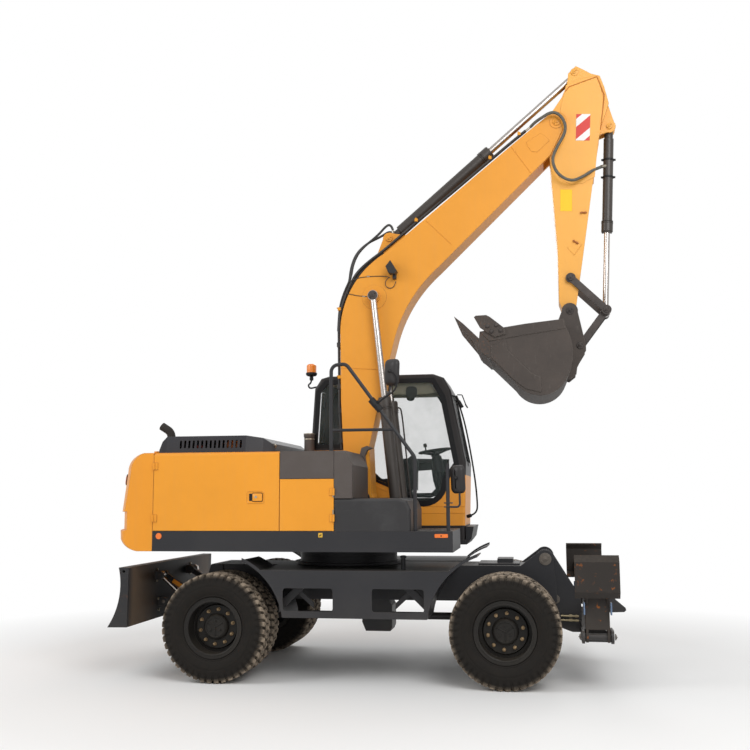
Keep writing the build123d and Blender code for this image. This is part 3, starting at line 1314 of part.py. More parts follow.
# Bucket: a curved shell between two cheeks, cutting lip, teeth and the ears that hang it
shell = 20.0
tooth_count = 5
cheek_band = [(1277, 3366), (1180, 3468), (1390, 3500), (1655, 3536), (1900, 3560), (2030, 3572), (2050, 3475),
              (1591, 3414)]
wear_strip = [(1290, 3200), (1535, 2942), (1640, 2862), (1789, 2822), (1789, 2974), (1696, 3022), (1461, 3268),
              (1443, 3360), (1300, 3320)]
side_cutter = [(1124, 3618), (1142, 3634), (1251, 3637), (1289, 3616), (1428, 3500), (1446, 3434), (1337, 3405),
               (1267, 3446), (1184, 3508)]
with BuildPart() as bucket:
    with BuildSketch(at_side(bucket_half)):
        with BuildLine():
            Polyline((2040, 3575), (1655, 3534), (1179, 3470), (1158, 3277), (1280, 3190), (1530, 2935))
            belly = ThreePointArc((1530, 2935), (1829, 2795), (2060, 2975))
            heel = ThreePointArc(belly @ 1, (2122, 3230), (2062, 3480))
            Line(heel @ 1, (2040, 3575))
        make_face()
    extrude(amount=2 * bucket_half)
    with BuildSketch(at_side(bucket_half - shell)):
        with BuildLine():
            Polyline((2000, 3800), (1100, 3800), (1100, 3340), (1168, 3296), (1294, 3206), (1544, 2950))
            belly = ThreePointArc((1544, 2950), (1829, 2795 + shell), (2044, 2986))
            heel = ThreePointArc(belly @ 1, (2122 - shell, 3230), (2042, 3472))
            Line(heel @ 1, (2000, 3560))
            Line((2000, 3560), (2000, 3800))
        make_face()
    extrude(amount=2 * (bucket_half - shell), mode=Mode.SUBTRACT)
    for side in (-1, 1):
        inner = side * (arm_half + 8) if side > 0 else side * (arm_half + 8) - 26
        with BuildSketch(at_side(inner + 26)):
            with BuildLine():
                Polyline((bucket_pin[0] - 85, bucket_pin[1]), (1960, 3540), (2030, 3480), (2090, 3200), (2060, 3000),
                         (2100, 2990), (2165, 3042), (2178, 3129), (bucket_ear[0], 3195),
                         (bucket_ear[0] + 60, 3290), (bucket_ear[0] + 60, bucket_ear[1]),
                         (bucket_pin[0] + 80, bucket_pin[1]), close=True)
            make_face()
            with Locations(bucket_pin):
                Circle(85)
            with Locations(bucket_ear):
                Circle(60)
            with Locations(bucket_pin):
                Circle(38 + pin_gap, mode=Mode.SUBTRACT)
        extrude(amount=26)
    # the cheeks' top bands, wear strips below them and the bolted side cutters
    for outline, rise in ((cheek_band, 8), (wear_strip, 8), (side_cutter, 26)):
        for side in (-1, 1):
            with BuildSketch(at_side(side * (bucket_half + rise / 2 - 0.5) + (rise + 1) / 2)):
                with BuildLine():
                    Polyline(*outline, close=True)
                make_face()
            extrude(amount=rise + 1)
    # the lip's thick plate
    with BuildSketch(at_side(bucket_half - 5)):
        with BuildLine():
            Polyline((1296, 3210), (1256, 3192), (1140, 3302), (1118, 3352), (1150, 3352), (1300, 3236), close=True)
        make_face()
    extrude(amount=2 * bucket_half - 10)
    for step in range(tooth_count):
        y = -bucket_half + 40 + step * (2 * bucket_half - 80) / (tooth_count - 1)
        with BuildSketch(at_side(y + 32)):
            with BuildLine():
                Polyline((1290, 3200), (1165, 3300), (930, 3600), (914, 3640), (1010, 3560), (1200, 3370),
                         (1290, 3290), close=True)
            make_face()
        extrude(amount=64)
save(bucket, "bucket")

# Two hoses up the boom's back, held by bars clamped across it
hose_radius = 15.0
hose_y = 112.0
hose_off = 28.0
clamp_long = 50.0
with BuildPart() as hoses:
    for y in (-hose_y, hose_y):
        with BuildLine() as run:
            lower = Polyline((-357, y, 2290), (-380, y, 2819), (-388, y, 3591))
            ThreePointArc(lower @ 1, (-277, y, 4033), (119, y, 4455))
        with BuildSketch(Plane(origin=run.line @ 0, z_dir=run.line % 0)):
            Circle(hose_radius)
        sweep()
    for low, high in (((-327, 2277), (-352, 2819)), ((-352, 2819), (-360, 3590))):
        along = Vector(high[0] - low[0], 0, high[1] - low[1]).normalized()
        for part_way in (0.2, 0.8):
            foot = (low[0] + part_way * (high[0] - low[0]), low[1] + part_way * (high[1] - low[1]))
            with BuildSketch(Plane(origin=(foot[0], -hose_y - 25, foot[1]), x_dir=along, z_dir=(0, 1, 0))):
                with Locations((0, -seat_gap - (hose_off + hose_radius + 4) / 2)):
                    Rectangle(clamp_long, hose_off + hose_radius + 4)
            extrude(amount=2 * hose_y + 50)
save(hoses, "hoses")
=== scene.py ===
import bmesh
import bpy
from math import atan2, cos, pi, radians, sin
from mathutils import Matrix, Vector


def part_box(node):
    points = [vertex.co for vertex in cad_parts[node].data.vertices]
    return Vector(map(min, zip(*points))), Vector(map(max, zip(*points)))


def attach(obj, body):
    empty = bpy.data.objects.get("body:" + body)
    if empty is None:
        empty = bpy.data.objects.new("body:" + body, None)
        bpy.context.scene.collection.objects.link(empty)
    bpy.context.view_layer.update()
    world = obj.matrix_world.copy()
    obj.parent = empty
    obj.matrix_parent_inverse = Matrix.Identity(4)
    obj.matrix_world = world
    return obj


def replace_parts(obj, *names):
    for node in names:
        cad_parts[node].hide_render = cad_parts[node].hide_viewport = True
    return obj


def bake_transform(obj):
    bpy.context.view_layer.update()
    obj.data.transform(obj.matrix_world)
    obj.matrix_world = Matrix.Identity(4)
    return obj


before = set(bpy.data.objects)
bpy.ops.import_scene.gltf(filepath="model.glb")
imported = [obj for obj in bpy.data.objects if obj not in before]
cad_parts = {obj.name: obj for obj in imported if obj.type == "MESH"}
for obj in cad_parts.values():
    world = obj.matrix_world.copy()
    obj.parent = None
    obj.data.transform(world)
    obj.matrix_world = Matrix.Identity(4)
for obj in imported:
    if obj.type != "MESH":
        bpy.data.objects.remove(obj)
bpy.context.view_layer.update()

# The camera stands to the machine's right, about 10 m off and at eye height, and looks
# slightly up and to the rear, as the photograph was taken.
eye = Vector((1.712, -10.403, 1.758))
yaw, pitch, roll = radians(-9.37), radians(7.29), radians(-0.27)
focal_pixels, picture_pixels = 964.0, 750.0
ahead = Vector((sin(yaw) * cos(pitch), cos(yaw) * cos(pitch), sin(pitch)))
level = Vector((cos(yaw), -sin(yaw), 0))
over = level.cross(ahead)
camera_right = level * cos(roll) + over * sin(roll)
camera_up = over * cos(roll) - level * sin(roll)
camera_data = bpy.data.cameras.new("camera")
camera_data.sensor_width = 36.0
camera_data.lens = focal_pixels / picture_pixels * camera_data.sensor_width
camera_data.clip_end = 200.0
camera = bpy.data.objects.new("camera", camera_data)
turned_to = Matrix((camera_right, camera_up, -ahead)).transposed().to_4x4()
camera.matrix_world = Matrix.Translation(eye) @ turned_to
bpy.context.scene.collection.objects.link(camera)
bpy.context.scene.camera = camera
bpy.context.scene.view_settings.view_transform = "Standard"


# The stage is a pale studio floor under a white sky. Three large soft lamps stand high round the
# machine, the strongest before its right side, and shadows stay faint.
class Wire:
    """A socket in a material's node tree. Sums on it add Math nodes."""

    def __init__(self, tree, socket=None):
        self.tree = tree
        self.socket = socket

    def make(self, kind, settings=None, inputs=None, output=0):
        """Any other node, from its type, its settings and what goes into its sockets."""
        node = self.tree.nodes.new("ShaderNode" + kind)
        for key, value in (settings or {}).items():
            setattr(node, key, value)
        for key, value in (inputs or {}).items():
            if isinstance(value, Wire):
                self.tree.links.new(value.socket, node.inputs[key])
            else:
                node.inputs[key].default_value = value
        return Wire(self.tree, node.outputs[output])

    def sum(self, operation, first, second=0.0, clamp=False):
        return self.make("Math", {"operation": operation, "use_clamp": clamp}, {0: first, 1: second})

    def __add__(self, other):
        return self.sum("ADD", self, other)

    def __radd__(self, other):
        return self.sum("ADD", other, self)

    def __sub__(self, other):
        return self.sum("SUBTRACT", self, other)

    def __rsub__(self, other):
        return self.sum("SUBTRACT", other, self)

    def __mul__(self, other):
        return self.sum("MULTIPLY", self, other)

    def __rmul__(self, other):
        return self.sum("MULTIPLY", other, self)

    def __truediv__(self, other):
        return self.sum("DIVIDE", self, other)

    def __rtruediv__(self, other):
        return self.sum("DIVIDE", other, self)

    def __gt__(self, other):
        return self.sum("GREATER_THAN", self, other)

    def __lt__(self, other):
        return self.sum("LESS_THAN", self, other)

    def held(self):
        """The value kept between 0 and 1."""
        return self.sum("ADD", self, 0.0, clamp=True)

    def tones(self, low, high):
        """A colour from low, where this value is 0, to high, where it is 1."""
        return self.make("Mix", {"data_type": "RGBA"}, {0: self, 6: low, 7: high}, 2)

    def along(self, axis):
        """One component of this vector."""
        return self.make("SeparateXYZ", inputs={0: self}, output=axis)

    def noise(self, scale, detail, rough=0.5):
        """Noise over this place."""
        return self.make("TexNoise", inputs={"Vector": self, "Scale": scale, "Detail": detail, "Roughness": rough})

    def stretched(self, scale, turn=(0, 0, 0)):
        """This place, scaled and turned."""
        return self.make("Mapping", inputs={"Vector": self, "Scale": scale, "Rotation": turn})

    def cells(self, scale, feature="F1"):
        """Voronoi cells over this place."""
        return self.make("TexVoronoi", {"feature": feature}, {"Vector": self, "Scale": scale})

    def facing(self):
        """The surface's own direction."""
        return self.make("NewGeometry", output="Normal")

    def eased(self, radius):
        """The surface's direction with its edges rounded off."""
        return self.make("Bevel", {"samples": 4}, {"Radius": radius})

    def bump(self, strength, distance, base=None):
        """A direction tilted by this height, over a base direction if there is one."""
        inputs = {"Strength": strength, "Distance": distance, "Height": self}
        return self.make("Bump", inputs=inputs if base is None else {**inputs, "Normal": base})

    def into(self, shader, socket):
        self.tree.links.new(self.socket, shader.inputs[socket])


def surface(name, constants):
    """A new material, its shader with these constants set, and a wire that carries a point's place."""
    material = bpy.data.materials.new(name)
    material.use_nodes = True
    shader = material.node_tree.nodes["Principled BSDF"]
    for socket, value in constants.items():
        shader.inputs[socket].default_value = value
    return material, shader, Wire(material.node_tree).make("TexCoord", output="Object")


def mesh_object(name, mesh, material):
    piece = bpy.data.objects.new(name, mesh)
    bpy.context.scene.collection.objects.link(piece)
    mesh.materials.append(material)
    return piece


floor_reach, fade_from, fade_length = 40, 4.0, 3.0
floor_mesh = bpy.data.meshes.new("floor")
floor_mesh.from_pydata([(x * floor_reach, y * floor_reach, 0) for x, y in ((-1, -1), (1, -1), (1, 1), (-1, 1))],
                       [], [(0, 1, 2, 3)])
floor_paint, shader, place = surface("floor_paint", {"Base Color": (0.86, 0.86, 0.855, 1), "Roughness": 0.9})
far_off = place.make("VectorMath", {"operation": "LENGTH"}, {0: place}, 1)
fade = place.make("LightPath", output="Is Camera Ray") * ((far_off - fade_from) / fade_length).held()
white = place.make("Emission", inputs={"Color": (1, 1, 1, 1), "Strength": 1.0})
mixed = place.make("MixShader", inputs={0: fade, 1: Wire(place.tree, shader.outputs[0]), 2: white})
mixed.into(place.tree.nodes["Material Output"], "Surface")
mesh_object("floor", floor_mesh, floor_paint)

sky = bpy.data.worlds.new("sky")
sky.use_nodes = True
bpy.context.scene.world = sky
start = Wire(sky.node_tree)
shown, glossy, through = (start.make("LightPath", output=f"Is {ray} Ray")
                          for ray in ("Camera", "Glossy", "Transmission"))
background = sky.node_tree.nodes["Background"]
background.inputs["Color"].default_value = (1, 1, 1, 1)
(0.62 + 0.38 * (shown + through).held() + 0.12 * glossy).into(background, "Strength")

for name, spot, aim, size, watts in (
        ("lamp_front_right", (5.5, -9.0, 8.5), (0.3, 0.0, 2.0), 6.0, 640.0),
        ("lamp_rear_right", (-8.5, -6.0, 7.0), (-0.6, 0.0, 1.6), 5.0, 330.0),
        ("lamp_left", (1.0, 9.0, 9.0), (0.0, 0.0, 2.0), 6.0, 260.0)):
    data = bpy.data.lights.new(name, "AREA")
    data.size = size
    data.energy = watts
    lamp = bpy.data.objects.new(name, data)
    lamp.location = spot
    lamp.rotation_euler = (Vector(aim) - Vector(spot)).to_track_quat("-Z", "Y").to_euler()
    bpy.context.scene.collection.objects.link(lamp)


# The chassis is a welded steel beam with side steps, all sprayed charcoal grey. Dust lies on what
# faces up, the edges are rubbed paler, and the spray leaves a fine orange peel.
def painted(name, colour, worn, dust=0.18, roughness=0.42, coat=0.05, scrape=0.0, bevel=0.006, mud=0.0, rust=0.0,
            streaks=0.0, shine=0.25, tone_at=None):
    """Sprayed steel: its colour drifts, edges wear, dust settles on top, rain draws it down in
    streaks, mud clings low and rust breaks through. tone_at gives a colour that varies by place."""
    material, shader, place = surface(name, {"Specular IOR Level": shine, "Coat Weight": coat, "Coat Roughness": 0.18})
    facing, rounded = place.facing(), place.eased(bevel)
    drift, speck, grain = place.noise(1.4, 5.0, 0.6), place.noise(34.0, 4.0, 0.7), place.noise(420.0, 2.0)
    sharp = 1.0 - place.make("VectorMath", {"operation": "DOT_PRODUCT"}, {0: rounded, 1: facing}, 1)
    rubbed = (sharp * 5.0 * speck * 1.3 - 0.18).held() * 0.75
    plain = tone_at(place) if tone_at else colour[:3]
    tone = place.make("VectorMath", {"operation": "SCALE"}, {0: plain, "Scale": 0.88 + 0.22 * drift})
    film = ((facing.along("Z") - 0.35) * 1.6).held() * (speck * 1.6 - 0.25).held() * dust
    film = film + (drift - 0.45).held() * dust * 0.35
    if mud:
        film = film + ((0.9 - place.along("Z")) * 1.3).held() * (drift * 2.2 - 0.6).held() * mud
    if streaks:
        runs = place.stretched((7.0, 7.0, 0.45)).noise(2.6, 5.0, 0.65)
        film = film + (runs * 2.2 - 1.05).held() * streaks * (0.6 + 0.8 * speck)
    tone = film.held().tones(tone, (0.30, 0.25, 0.19, 1))
    tone = rubbed.tones(tone, worn)
    rough = roughness + film * 0.3 + (grain - 0.5) * 0.06
    if scrape:
        marks = place.stretched((9.0, 9.0, 70.0)).noise(1.6, 6.0, 0.75)
        scored = ((marks - 0.56) * 9.0).held() * scrape
        tone = scored.tones(tone, worn)
        rough = rough - scored * 0.12
    if rust:
        eaten = ((place.noise(13.0, 8.0, 0.72) - 0.60) * 14.0).held() * rust
        tone = eaten.tones(tone, speck.tones((0.42, 0.13, 0.02, 1), (0.10, 0.035, 0.014, 1)))
        rough = rough + eaten * 0.3
    tone.into(shader, "Base Color")
    rough.held().into(shader, "Roughness")
    (grain + speck * 0.8).bump(0.10, 0.002, rounded).into(shader, "Normal")
    return material


def dress(material, *nodes):
    """The CAD nodes' own slots take this material."""
    for node in nodes:
        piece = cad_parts[node]
        piece.data.materials.clear()
        piece.data.materials.append(material)


def scaled(colour, factor, lift=0.0):
    """The colour multiplied by a factor and raised by a lift, its alpha 1."""
    return tuple(factor * v + lift for v in colour[:3]) + (1,)


charcoal = painted("charcoal_spray", (0.027, 0.027, 0.030, 1), (0.12, 0.11, 0.10, 1), mud=0.18)
dress(charcoal, "chassis_frame", "side_steps", "gearbox_and_shafts", "stabiliser_frame", "blade_lower_arms",
      "blade_upper_links", "upper_frame", "handrails")


# The axles, knuckles and the steering rod are iron castings under thin dark paint, with a rougher
# skin than the plates and more road dirt.
def cast(name, colour, rough=0.62, grit=0.5):
    material, shader, place = surface(name, {"Specular IOR Level": 0.25})
    sand = place.noise(160.0, 4.0)
    (place.noise(5.0, 6.0, 0.7) * 2.0 - 0.7).held().tones(colour, scaled(colour, 2.4)).into(shader, "Base Color")
    (rough + (sand - 0.5) * 0.2).held().into(shader, "Roughness")
    sand.bump(grit, 0.0015, place.eased(0.008)).into(shader, "Normal")
    return material


iron = cast("dark_casting", (0.018, 0.017, 0.016, 1))
dress(iron, "axle_rear", "axle_front", "knuckle_right", "knuckle_left", "steering_rod", "engine_block")


# Each corner has two 10.00-20 tyres on one hub. They are black carcasses with forty-four block lugs
# round each shoulder, two rows of blocks between, and pale dust ground into the crowns.
wheel_z, track_ys, crown_from = 0.522, (1.136, 0.819), 0.490
wheels = [("front_right", 1.4, -1), ("front_left", 1.4, 1), ("rear_right", -1.4, -1), ("rear_left", -1.4, 1)]
lug_count = 44
lug_turns = (0.00, 0.28, 0.56, 0.63, 0.93)
lug_stands = (1, 1, 1, 0, 0)
# across the tyre: y and r on the lug, y and r in the groove, and how far the block slants, in pitches
tyre_rows = [(y, r, y, r, 0.0) for y, r in (
    (0.104, 0.293), (0.112, 0.299), (0.116, 0.306), (0.115, 0.312), (0.123, 0.325), (0.129, 0.340),
    (0.1345, 0.358), (0.1372, 0.375), (0.1388, 0.392), (0.1370, 0.396), (0.1386, 0.400), (0.1372, 0.418))] + [
    (0.1350, 0.432, 0.1345, 0.432, 0.0), (0.1360, 0.446, 0.1305, 0.444, 0.0), (0.1340, 0.472, 0.1260, 0.466, 0.02),
    (0.1280, 0.498, 0.1190, 0.484, 0.04), (0.1190, 0.512, 0.1120, 0.493, 0.06)] + [
    (y, r, y, groove, slant) for y, r, groove, slant in (
        (0.0980, 0.519, 0.498, 0.12), (0.0620, 0.522, 0.500, 0.30), (0.0570, 0.500, 0.500, 0.32),
        (0.0480, 0.500, 0.500, 0.60), (0.0430, 0.522, 0.500, 0.62), (0.0100, 0.522, 0.500, 0.86),
        (0.0050, 0.503, 0.500, 0.88))]


def tyre_grid():
    """Points of one tyre about its own middle, row by row, with the dust that each one carries."""
    rows = tyre_rows + [(-y, r, -yf, rf, 1.5 - slant) for y, r, yf, rf, slant in reversed(tyre_rows)]
    points, dusts = [], []
    for y, r, yf, rf, slant in rows:
        for lug in range(lug_count):
            for turn, stands in zip(lug_turns, lug_stands):
                angle = 2 * pi * (lug + turn + slant) / lug_count
                across, reach = (y, r) if stands else (yf, rf)
                points.append((reach * sin(angle), across, reach * cos(angle)))
                crown = max(0.0, min(1.0, (r - crown_from) / 0.025))
                dusts.append(crown * (1.0 if stands and r > rf + 0.004 else 0.25))
    return points, dusts, len(rows), lug_count * len(lug_turns)


rubber, shader, place = surface("tyre_rubber", {"Specular IOR Level": 0.18})
ground_in = place.make("Attribute", {"attribute_name": "dust"}, output="Fac")
smear = place.noise(11.0, 7.0, 0.72)
brown = (smear * 1.7 - 0.45).held()
carcass = (brown * 0.45).tones((0.008, 0.007, 0.006, 1), (0.034, 0.027, 0.021, 1))
dusted = (ground_in * (smear * 4.0 - 1.35).held() * 0.95).held()
dusted.tones(carcass, (0.40, 0.32, 0.24, 1)).into(shader, "Base Color")
(0.66 + brown * 0.2).held().into(shader, "Roughness")
(place.noise(190.0, 3.0) + smear * 0.6).bump(0.35, 0.002).into(shader, "Normal")
grid, dusts, row_count, column_count = tyre_grid()
for corner, wheel_x, side in wheels:
    points, faces = [], []
    for twin, twin_y in enumerate(track_ys):
        first = len(points)
        spin = 0.35 * twin + 0.2 * (wheel_x > 0)
        points += [(wheel_x + x * cos(spin) + z * sin(spin), side * (twin_y + y),
                    wheel_z + z * cos(spin) - x * sin(spin)) for x, y, z in grid]
        for row in range(row_count - 1):
            for column in range(column_count):
                a = first + row * column_count + column
                b = first + row * column_count + (column + 1) % column_count
                quad = (a, a + column_count, b + column_count, b)
                faces.append(quad if side > 0 else quad[::-1])
    mesh = bpy.data.meshes.new(f"tyre_pair_{corner}")
    mesh.from_pydata(points, [], faces)
    mesh.attributes.new("dust", "FLOAT", "POINT").data.foreach_set("value", dusts * len(track_ys))
    pair = mesh_object(f"tyre_pair_{corner}", mesh, rubber)
    mesh.shade_smooth()
    mesh.set_sharp_from_angle(angle=radians(38))
    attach(pair, f"wheel_{corner}")
    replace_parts(pair, f"tyres_{corner}")


# The rims are rolled steel with a lock ring, painted near-black, and held by ten plated nuts on
# long studs. The hub's cap is cast with a three-armed rib and three small plug bolts.
def quads(rows, count, closed=False):
    """Faces between rows of count points each, and from the last row to the first where closed."""
    return [(row * count + i, row * count + (i + 1) % count,
             (row + 1) % rows * count + (i + 1) % count, (row + 1) % rows * count + i)
            for row in range(rows if closed else rows - 1) for i in range(count)]


def caps(rows, count):
    """The two faces that close off such rows."""
    return [tuple(range(count))[::-1], tuple(range((rows - 1) * count, rows * count))]


def turned(profile, place, steps=48):
    """Faces swept about the Y axis through place, from (radius, y) pairs."""
    angles = [2 * pi * step / steps for step in range(steps)]
    return [(place[0] + radius * sin(angle), place[1] + y, place[2] + radius * cos(angle))
            for radius, y in profile for angle in angles], quads(len(profile), steps)


def joined(name, parts, material, body, smooth_angle=35):
    """One mesh from several (points, faces), its normals set outward, riding on its body."""
    mesh = bpy.data.meshes.new(name)
    form = bmesh.new()
    for points, faces in parts:
        corners = [form.verts.new(p) for p in points]
        for face in faces:
            form.faces.new([corners[i] for i in face])
    bmesh.ops.remove_doubles(form, verts=form.verts, dist=1e-6)
    bmesh.ops.recalc_face_normals(form, faces=form.faces)
    form.to_mesh(mesh)
    form.free()
    piece = mesh_object(name, mesh, material)
    mesh.shade_smooth()
    mesh.set_sharp_from_angle(angle=radians(smooth_angle))
    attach(piece, body)
    return piece


def axes(a, b):
    """The direction from a to b, and two more that are square to it."""
    along = (b - a).normalized()
    across = along.orthogonal().normalized()
    return along, across, along.cross(across)


def circle(middle, across, third, radius, sides):
    """Points round the middle, in the plane of two directions."""
    return [middle + (across * cos(2 * pi * k / sides) + third * sin(2 * pi * k / sides)) * radius
            for k in range(sides)]


def rod(start_at, end_at, radius, sides=16, end_radius=None, dome=0.0):
    """A round or many-sided bar from one point to another, closed at both ends."""
    a, b = Vector(start_at), Vector(end_at)
    along, across, third = axes(a, b)
    far_radius = radius if end_radius is None else end_radius
    rings = [(a, radius), (b, far_radius)]
    if dome:
        rings.append((b + along * dome, far_radius * 0.62))
    points = [point for middle, size in rings for point in circle(middle, across, third, size, sides)]
    return points, caps(len(rings), sides) + quads(len(rings), sides)


def plated(name, colour, roughness=0.32, metallic=1.0, tarnish=0.35):
    """Bare or plated metal, clouded where it has been handled."""
    material, shader, place = surface(name, {"Metallic": metallic})
    cloud, brush = place.noise(22.0, 6.0, 0.7), place.noise(300.0, 2.0)
    ((cloud * 2.0 - 0.8).held() * tarnish).tones(colour, scaled(colour, 0.35)).into(shader, "Base Color")
    (roughness + (cloud - 0.5) * 0.25 + (brush - 0.5) * 0.05).held().into(shader, "Roughness")
    brush.bump(0.06, 0.001).into(shader, "Normal")
    return material


rim_paint = painted("rim_black", (0.011, 0.010, 0.009, 1), (0.05, 0.045, 0.04, 1), dust=0.12, roughness=0.5,
                    mud=0.07, shine=0.2)
dress(rim_paint, *(f"rims_{corner}" for corner, *_ in wheels))
brass = plated("yellow_plating", (0.27, 0.19, 0.11, 1), roughness=0.42, tarnish=0.8)
nut_ring, nut_count, disc_face, cap_face = 0.1675, 10, 1.116, 1.168
for corner, wheel_x, side in wheels:
    def at(radius, angle, y):
        """The point at a radius and an angle about this wheel's axle, y out from the machine's middle."""
        return wheel_x + radius * cos(angle), side * y, wheel_z + radius * sin(angle)

    studs = [rod(at(nut_ring, angle, disc_face + y_from), at(nut_ring, angle, disc_face + y_to), size, sides,
                 dome=0.002) for angle in (2 * pi * (step + 0.35) / nut_count for step in range(nut_count))
             for y_from, y_to, size, sides in ((0.0, 0.005, 0.0180, 20), (0.005, 0.026, 0.0155, 6),
                                               (0.026, 0.036, 0.0100, 12))]
    joined(f"wheel_nuts_{corner}", studs, brass, f"wheel_{corner}")
    trim = [turned([(radius, side * y) for radius, y in profile], (wheel_x, 0.0, wheel_z), steps)
            for steps, profile in ((72, ((0.2470, 1.2480), (0.2560, 1.2520), (0.2640, 1.2500), (0.2660, 1.2440))),
                                   (48, ((0.098, 1.1680), (0.098, 1.1740), (0.090, 1.1760), (0.086, 1.1700))))]
    for arm in range(3):
        angle = 2 * pi * arm / 3 + 0.55
        trim.append(rod(at(0.0, 0.0, cap_face + 0.002), at(0.084, angle, cap_face + 0.002), 0.0065, 8))
        trim.append(rod(at(0.056, angle + pi / 3, cap_face), at(0.056, angle + pi / 3, cap_face + 0.012), 0.011, 6,
                        dome=0.002))
    joined(f"hub_cap_ribs_{corner}", trim, rim_paint, f"wheel_{corner}")


# The dozer blade is a closed box of plate with end plates, bare of paint where it has cut. Its two
# pairs of equal arms are flat links on greased pins, and bolts hold its back plate.
both_sides = ((-1, "right"), (1, "left"))


def mirrored(x, y, z):
    """A place and its outward direction, on the right side and on the left."""
    return [((x, side * y, z), (0, side, 0)) for side, _ in both_sides]


def bolts(name, places, material, body, size, height=0.009, washer=0.0):
    """Hexagon heads, each at its place and standing out along its own direction."""
    parts = []
    for spot, out in places:
        foot, along = Vector(spot), Vector(out).normalized()
        if washer:
            parts.append(rod(foot - along * 0.002, foot + along * 0.003, washer, 20))
        parts.append(rod(foot - along * 0.002, foot + along * (0.003 + height), size, 6, dome=0.0015))
    joined(name, parts, material, body)


def plate(outline, depth_from, depth_to, axis=1, edge=0.002):
    """A flat plate: its outline lies across the axis, between two depths, its outer edge eased."""
    middle = Vector((sum(p[0] for p in outline), sum(p[1] for p in outline))) / len(outline)
    edge = min(edge, abs(depth_to - depth_from) * 0.4)
    turn = 1 if depth_to > depth_from else -1
    rings = []
    for depth, drawn in ((depth_from, 0), (depth_to - edge * turn, 0), (depth_to, edge)):
        for point in outline:
            moved = list(Vector(point) + (middle - Vector(point)).normalized() * drawn)
            rings.append(tuple(moved[:axis] + [depth] + moved[axis:]))
    return rings, caps(3, len(outline)) + quads(3, len(outline))


def blade_tones(place):
    """Dark spray, browned by dry soil over the outer half of each side of the blade's back."""
    out = place.sum("ABSOLUTE", place.along("Y"))
    band = ((out - 0.45) * 2.2).held() * ((1.22 - out) * 9.0).held()
    soil = (place.facing().along("X") > 0.6) * band * (0.45 + 0.75 * place.noise(3.0, 6.0, 0.7))
    return soil.held().tones((0.024, 0.024, 0.026, 1), (0.135, 0.094, 0.062, 1))


blade_steel = painted("blade_spray", (0.024, 0.024, 0.026, 1), (0.13, 0.11, 0.09, 1), mud=0.15, scrape=0.25,
                      roughness=0.5, rust=0.25, tone_at=blade_tones)
dress(blade_steel, "blade")
dull_zinc = plated("dull_zinc", (0.52, 0.47, 0.38, 1), roughness=0.42, tarnish=0.7)
bolts("blade_back_bolts", [((-2.279, side * y, z), (1, 0, 0)) for side, _ in both_sides
                           for y, z in ((0.500, 1.019), (0.504, 0.905), (0.454, 0.713), (0.435, 0.596))],
      dull_zinc, "blade", size=0.014)
amber = painted("amber_plate", (0.85, 0.33, 0.03, 1), (0.30, 0.12, 0.03, 1), dust=0.5)
amber_corners = [(-2.142, 0.882), (-2.032, 0.813), (-2.008, 0.850), (-2.118, 0.919)]
joined("blade_amber_plates", [plate(amber_corners, side * 0.4195, side * 0.4235, edge=0.001) for side, _ in both_sides],
       amber, "blade_links")


# Pins and cylinders share one kind of parts: chromed rods, dark barrels with bolted glands, and
# pins with a keeper plate on two bolts and a grease nipple.
chrome = plated("hard_chrome", (0.56, 0.52, 0.49, 1), roughness=0.24, tarnish=0.25)
dress(chrome, "blade_rods", "leg_rod_right", "leg_rod_left", "boom_rods", "arm_rod", "bucket_rod")
barrel_spray = painted("barrel_spray", (0.050, 0.042, 0.037, 1), (0.16, 0.14, 0.12, 1), dust=0.2, roughness=0.36,
                       shine=0.4)
dress(barrel_spray, "blade_barrels", "leg_barrel_right", "leg_barrel_left", "boom_barrels", "arm_barrel",
      "bucket_barrel")


def gland(name, start_at, end_at, closed, radius, body, count=8):
    """The bolted gland at a barrel's mouth: a ring of cap screws on a collar, and the wiper."""
    along, across, third = axes(Vector(start_at), Vector(end_at))
    mouth = Vector(start_at) + along * closed
    parts = [rod(mouth - along * 0.004, mouth + along * 0.008, radius * 0.82, 32, dome=0.002)]
    for step in range(count):
        angle = 2 * pi * (step + 0.5) / count
        foot = mouth + (across * cos(angle) + third * sin(angle)) * radius * 0.80
        parts.append(rod(foot - along * 0.002, foot + along * 0.012, 0.0085, 12, dome=0.0015))
    for back, swell in ((0.100, 1.035), (0.118, 1.02)):
        ring = mouth - along * back
        parts.append(rod(ring, ring + along * 0.008, radius * swell, 32))
    joined(name, parts, barrel_spray, body)


def pin_heads(name, places, material, body, radius):
    """A pin's end plate with its keeper bar on two bolts and the grease nipple in the middle."""
    parts = []
    for spot, out in places:
        foot, along = Vector(spot), Vector(out).normalized()
        across = Vector((0.8, 0, 0.6)) if abs(along.y) > 0.5 else Vector((0, 0.8, 0.6))
        for low, high, share, sides in ((-0.002, 0.006, 1, 28), (0.006, 0.012, 0.45, 20), (0.012, 0.020, 0.12, 8)):
            parts.append(rod(foot + along * low, foot + along * high, radius * share, sides, dome=0.002))
        for turn in (-1, 1):
            bolt = foot + across * radius * 0.68 * turn
            parts.append(rod(bolt, bolt + along * 0.013, radius * 0.15, 6, dome=0.001))
    joined(name, parts, material, body)


pins = plated("greased_steel", (0.16, 0.14, 0.12, 1), roughness=0.38, metallic=0.7, tarnish=0.8)
for body, reach, spots in (("chassis", 0.426, ((-1.785, 0.404), (-1.785, 0.684))),
                           ("blade", 0.430, ((-2.226, 0.680), (-2.226, 0.960)))):
    pin_heads(f"blade_link_pins_{body}", [head for x, z in spots for head in mirrored(x, reach, z)], pins, body, 0.023)
for side, name in both_sides:
    gland(f"blade_gland_{name}", (-1.665, side * 0.51, 0.470), (-2.226, side * 0.51, 0.960), 0.465, 0.048,
          "blade_barrels", count=6)


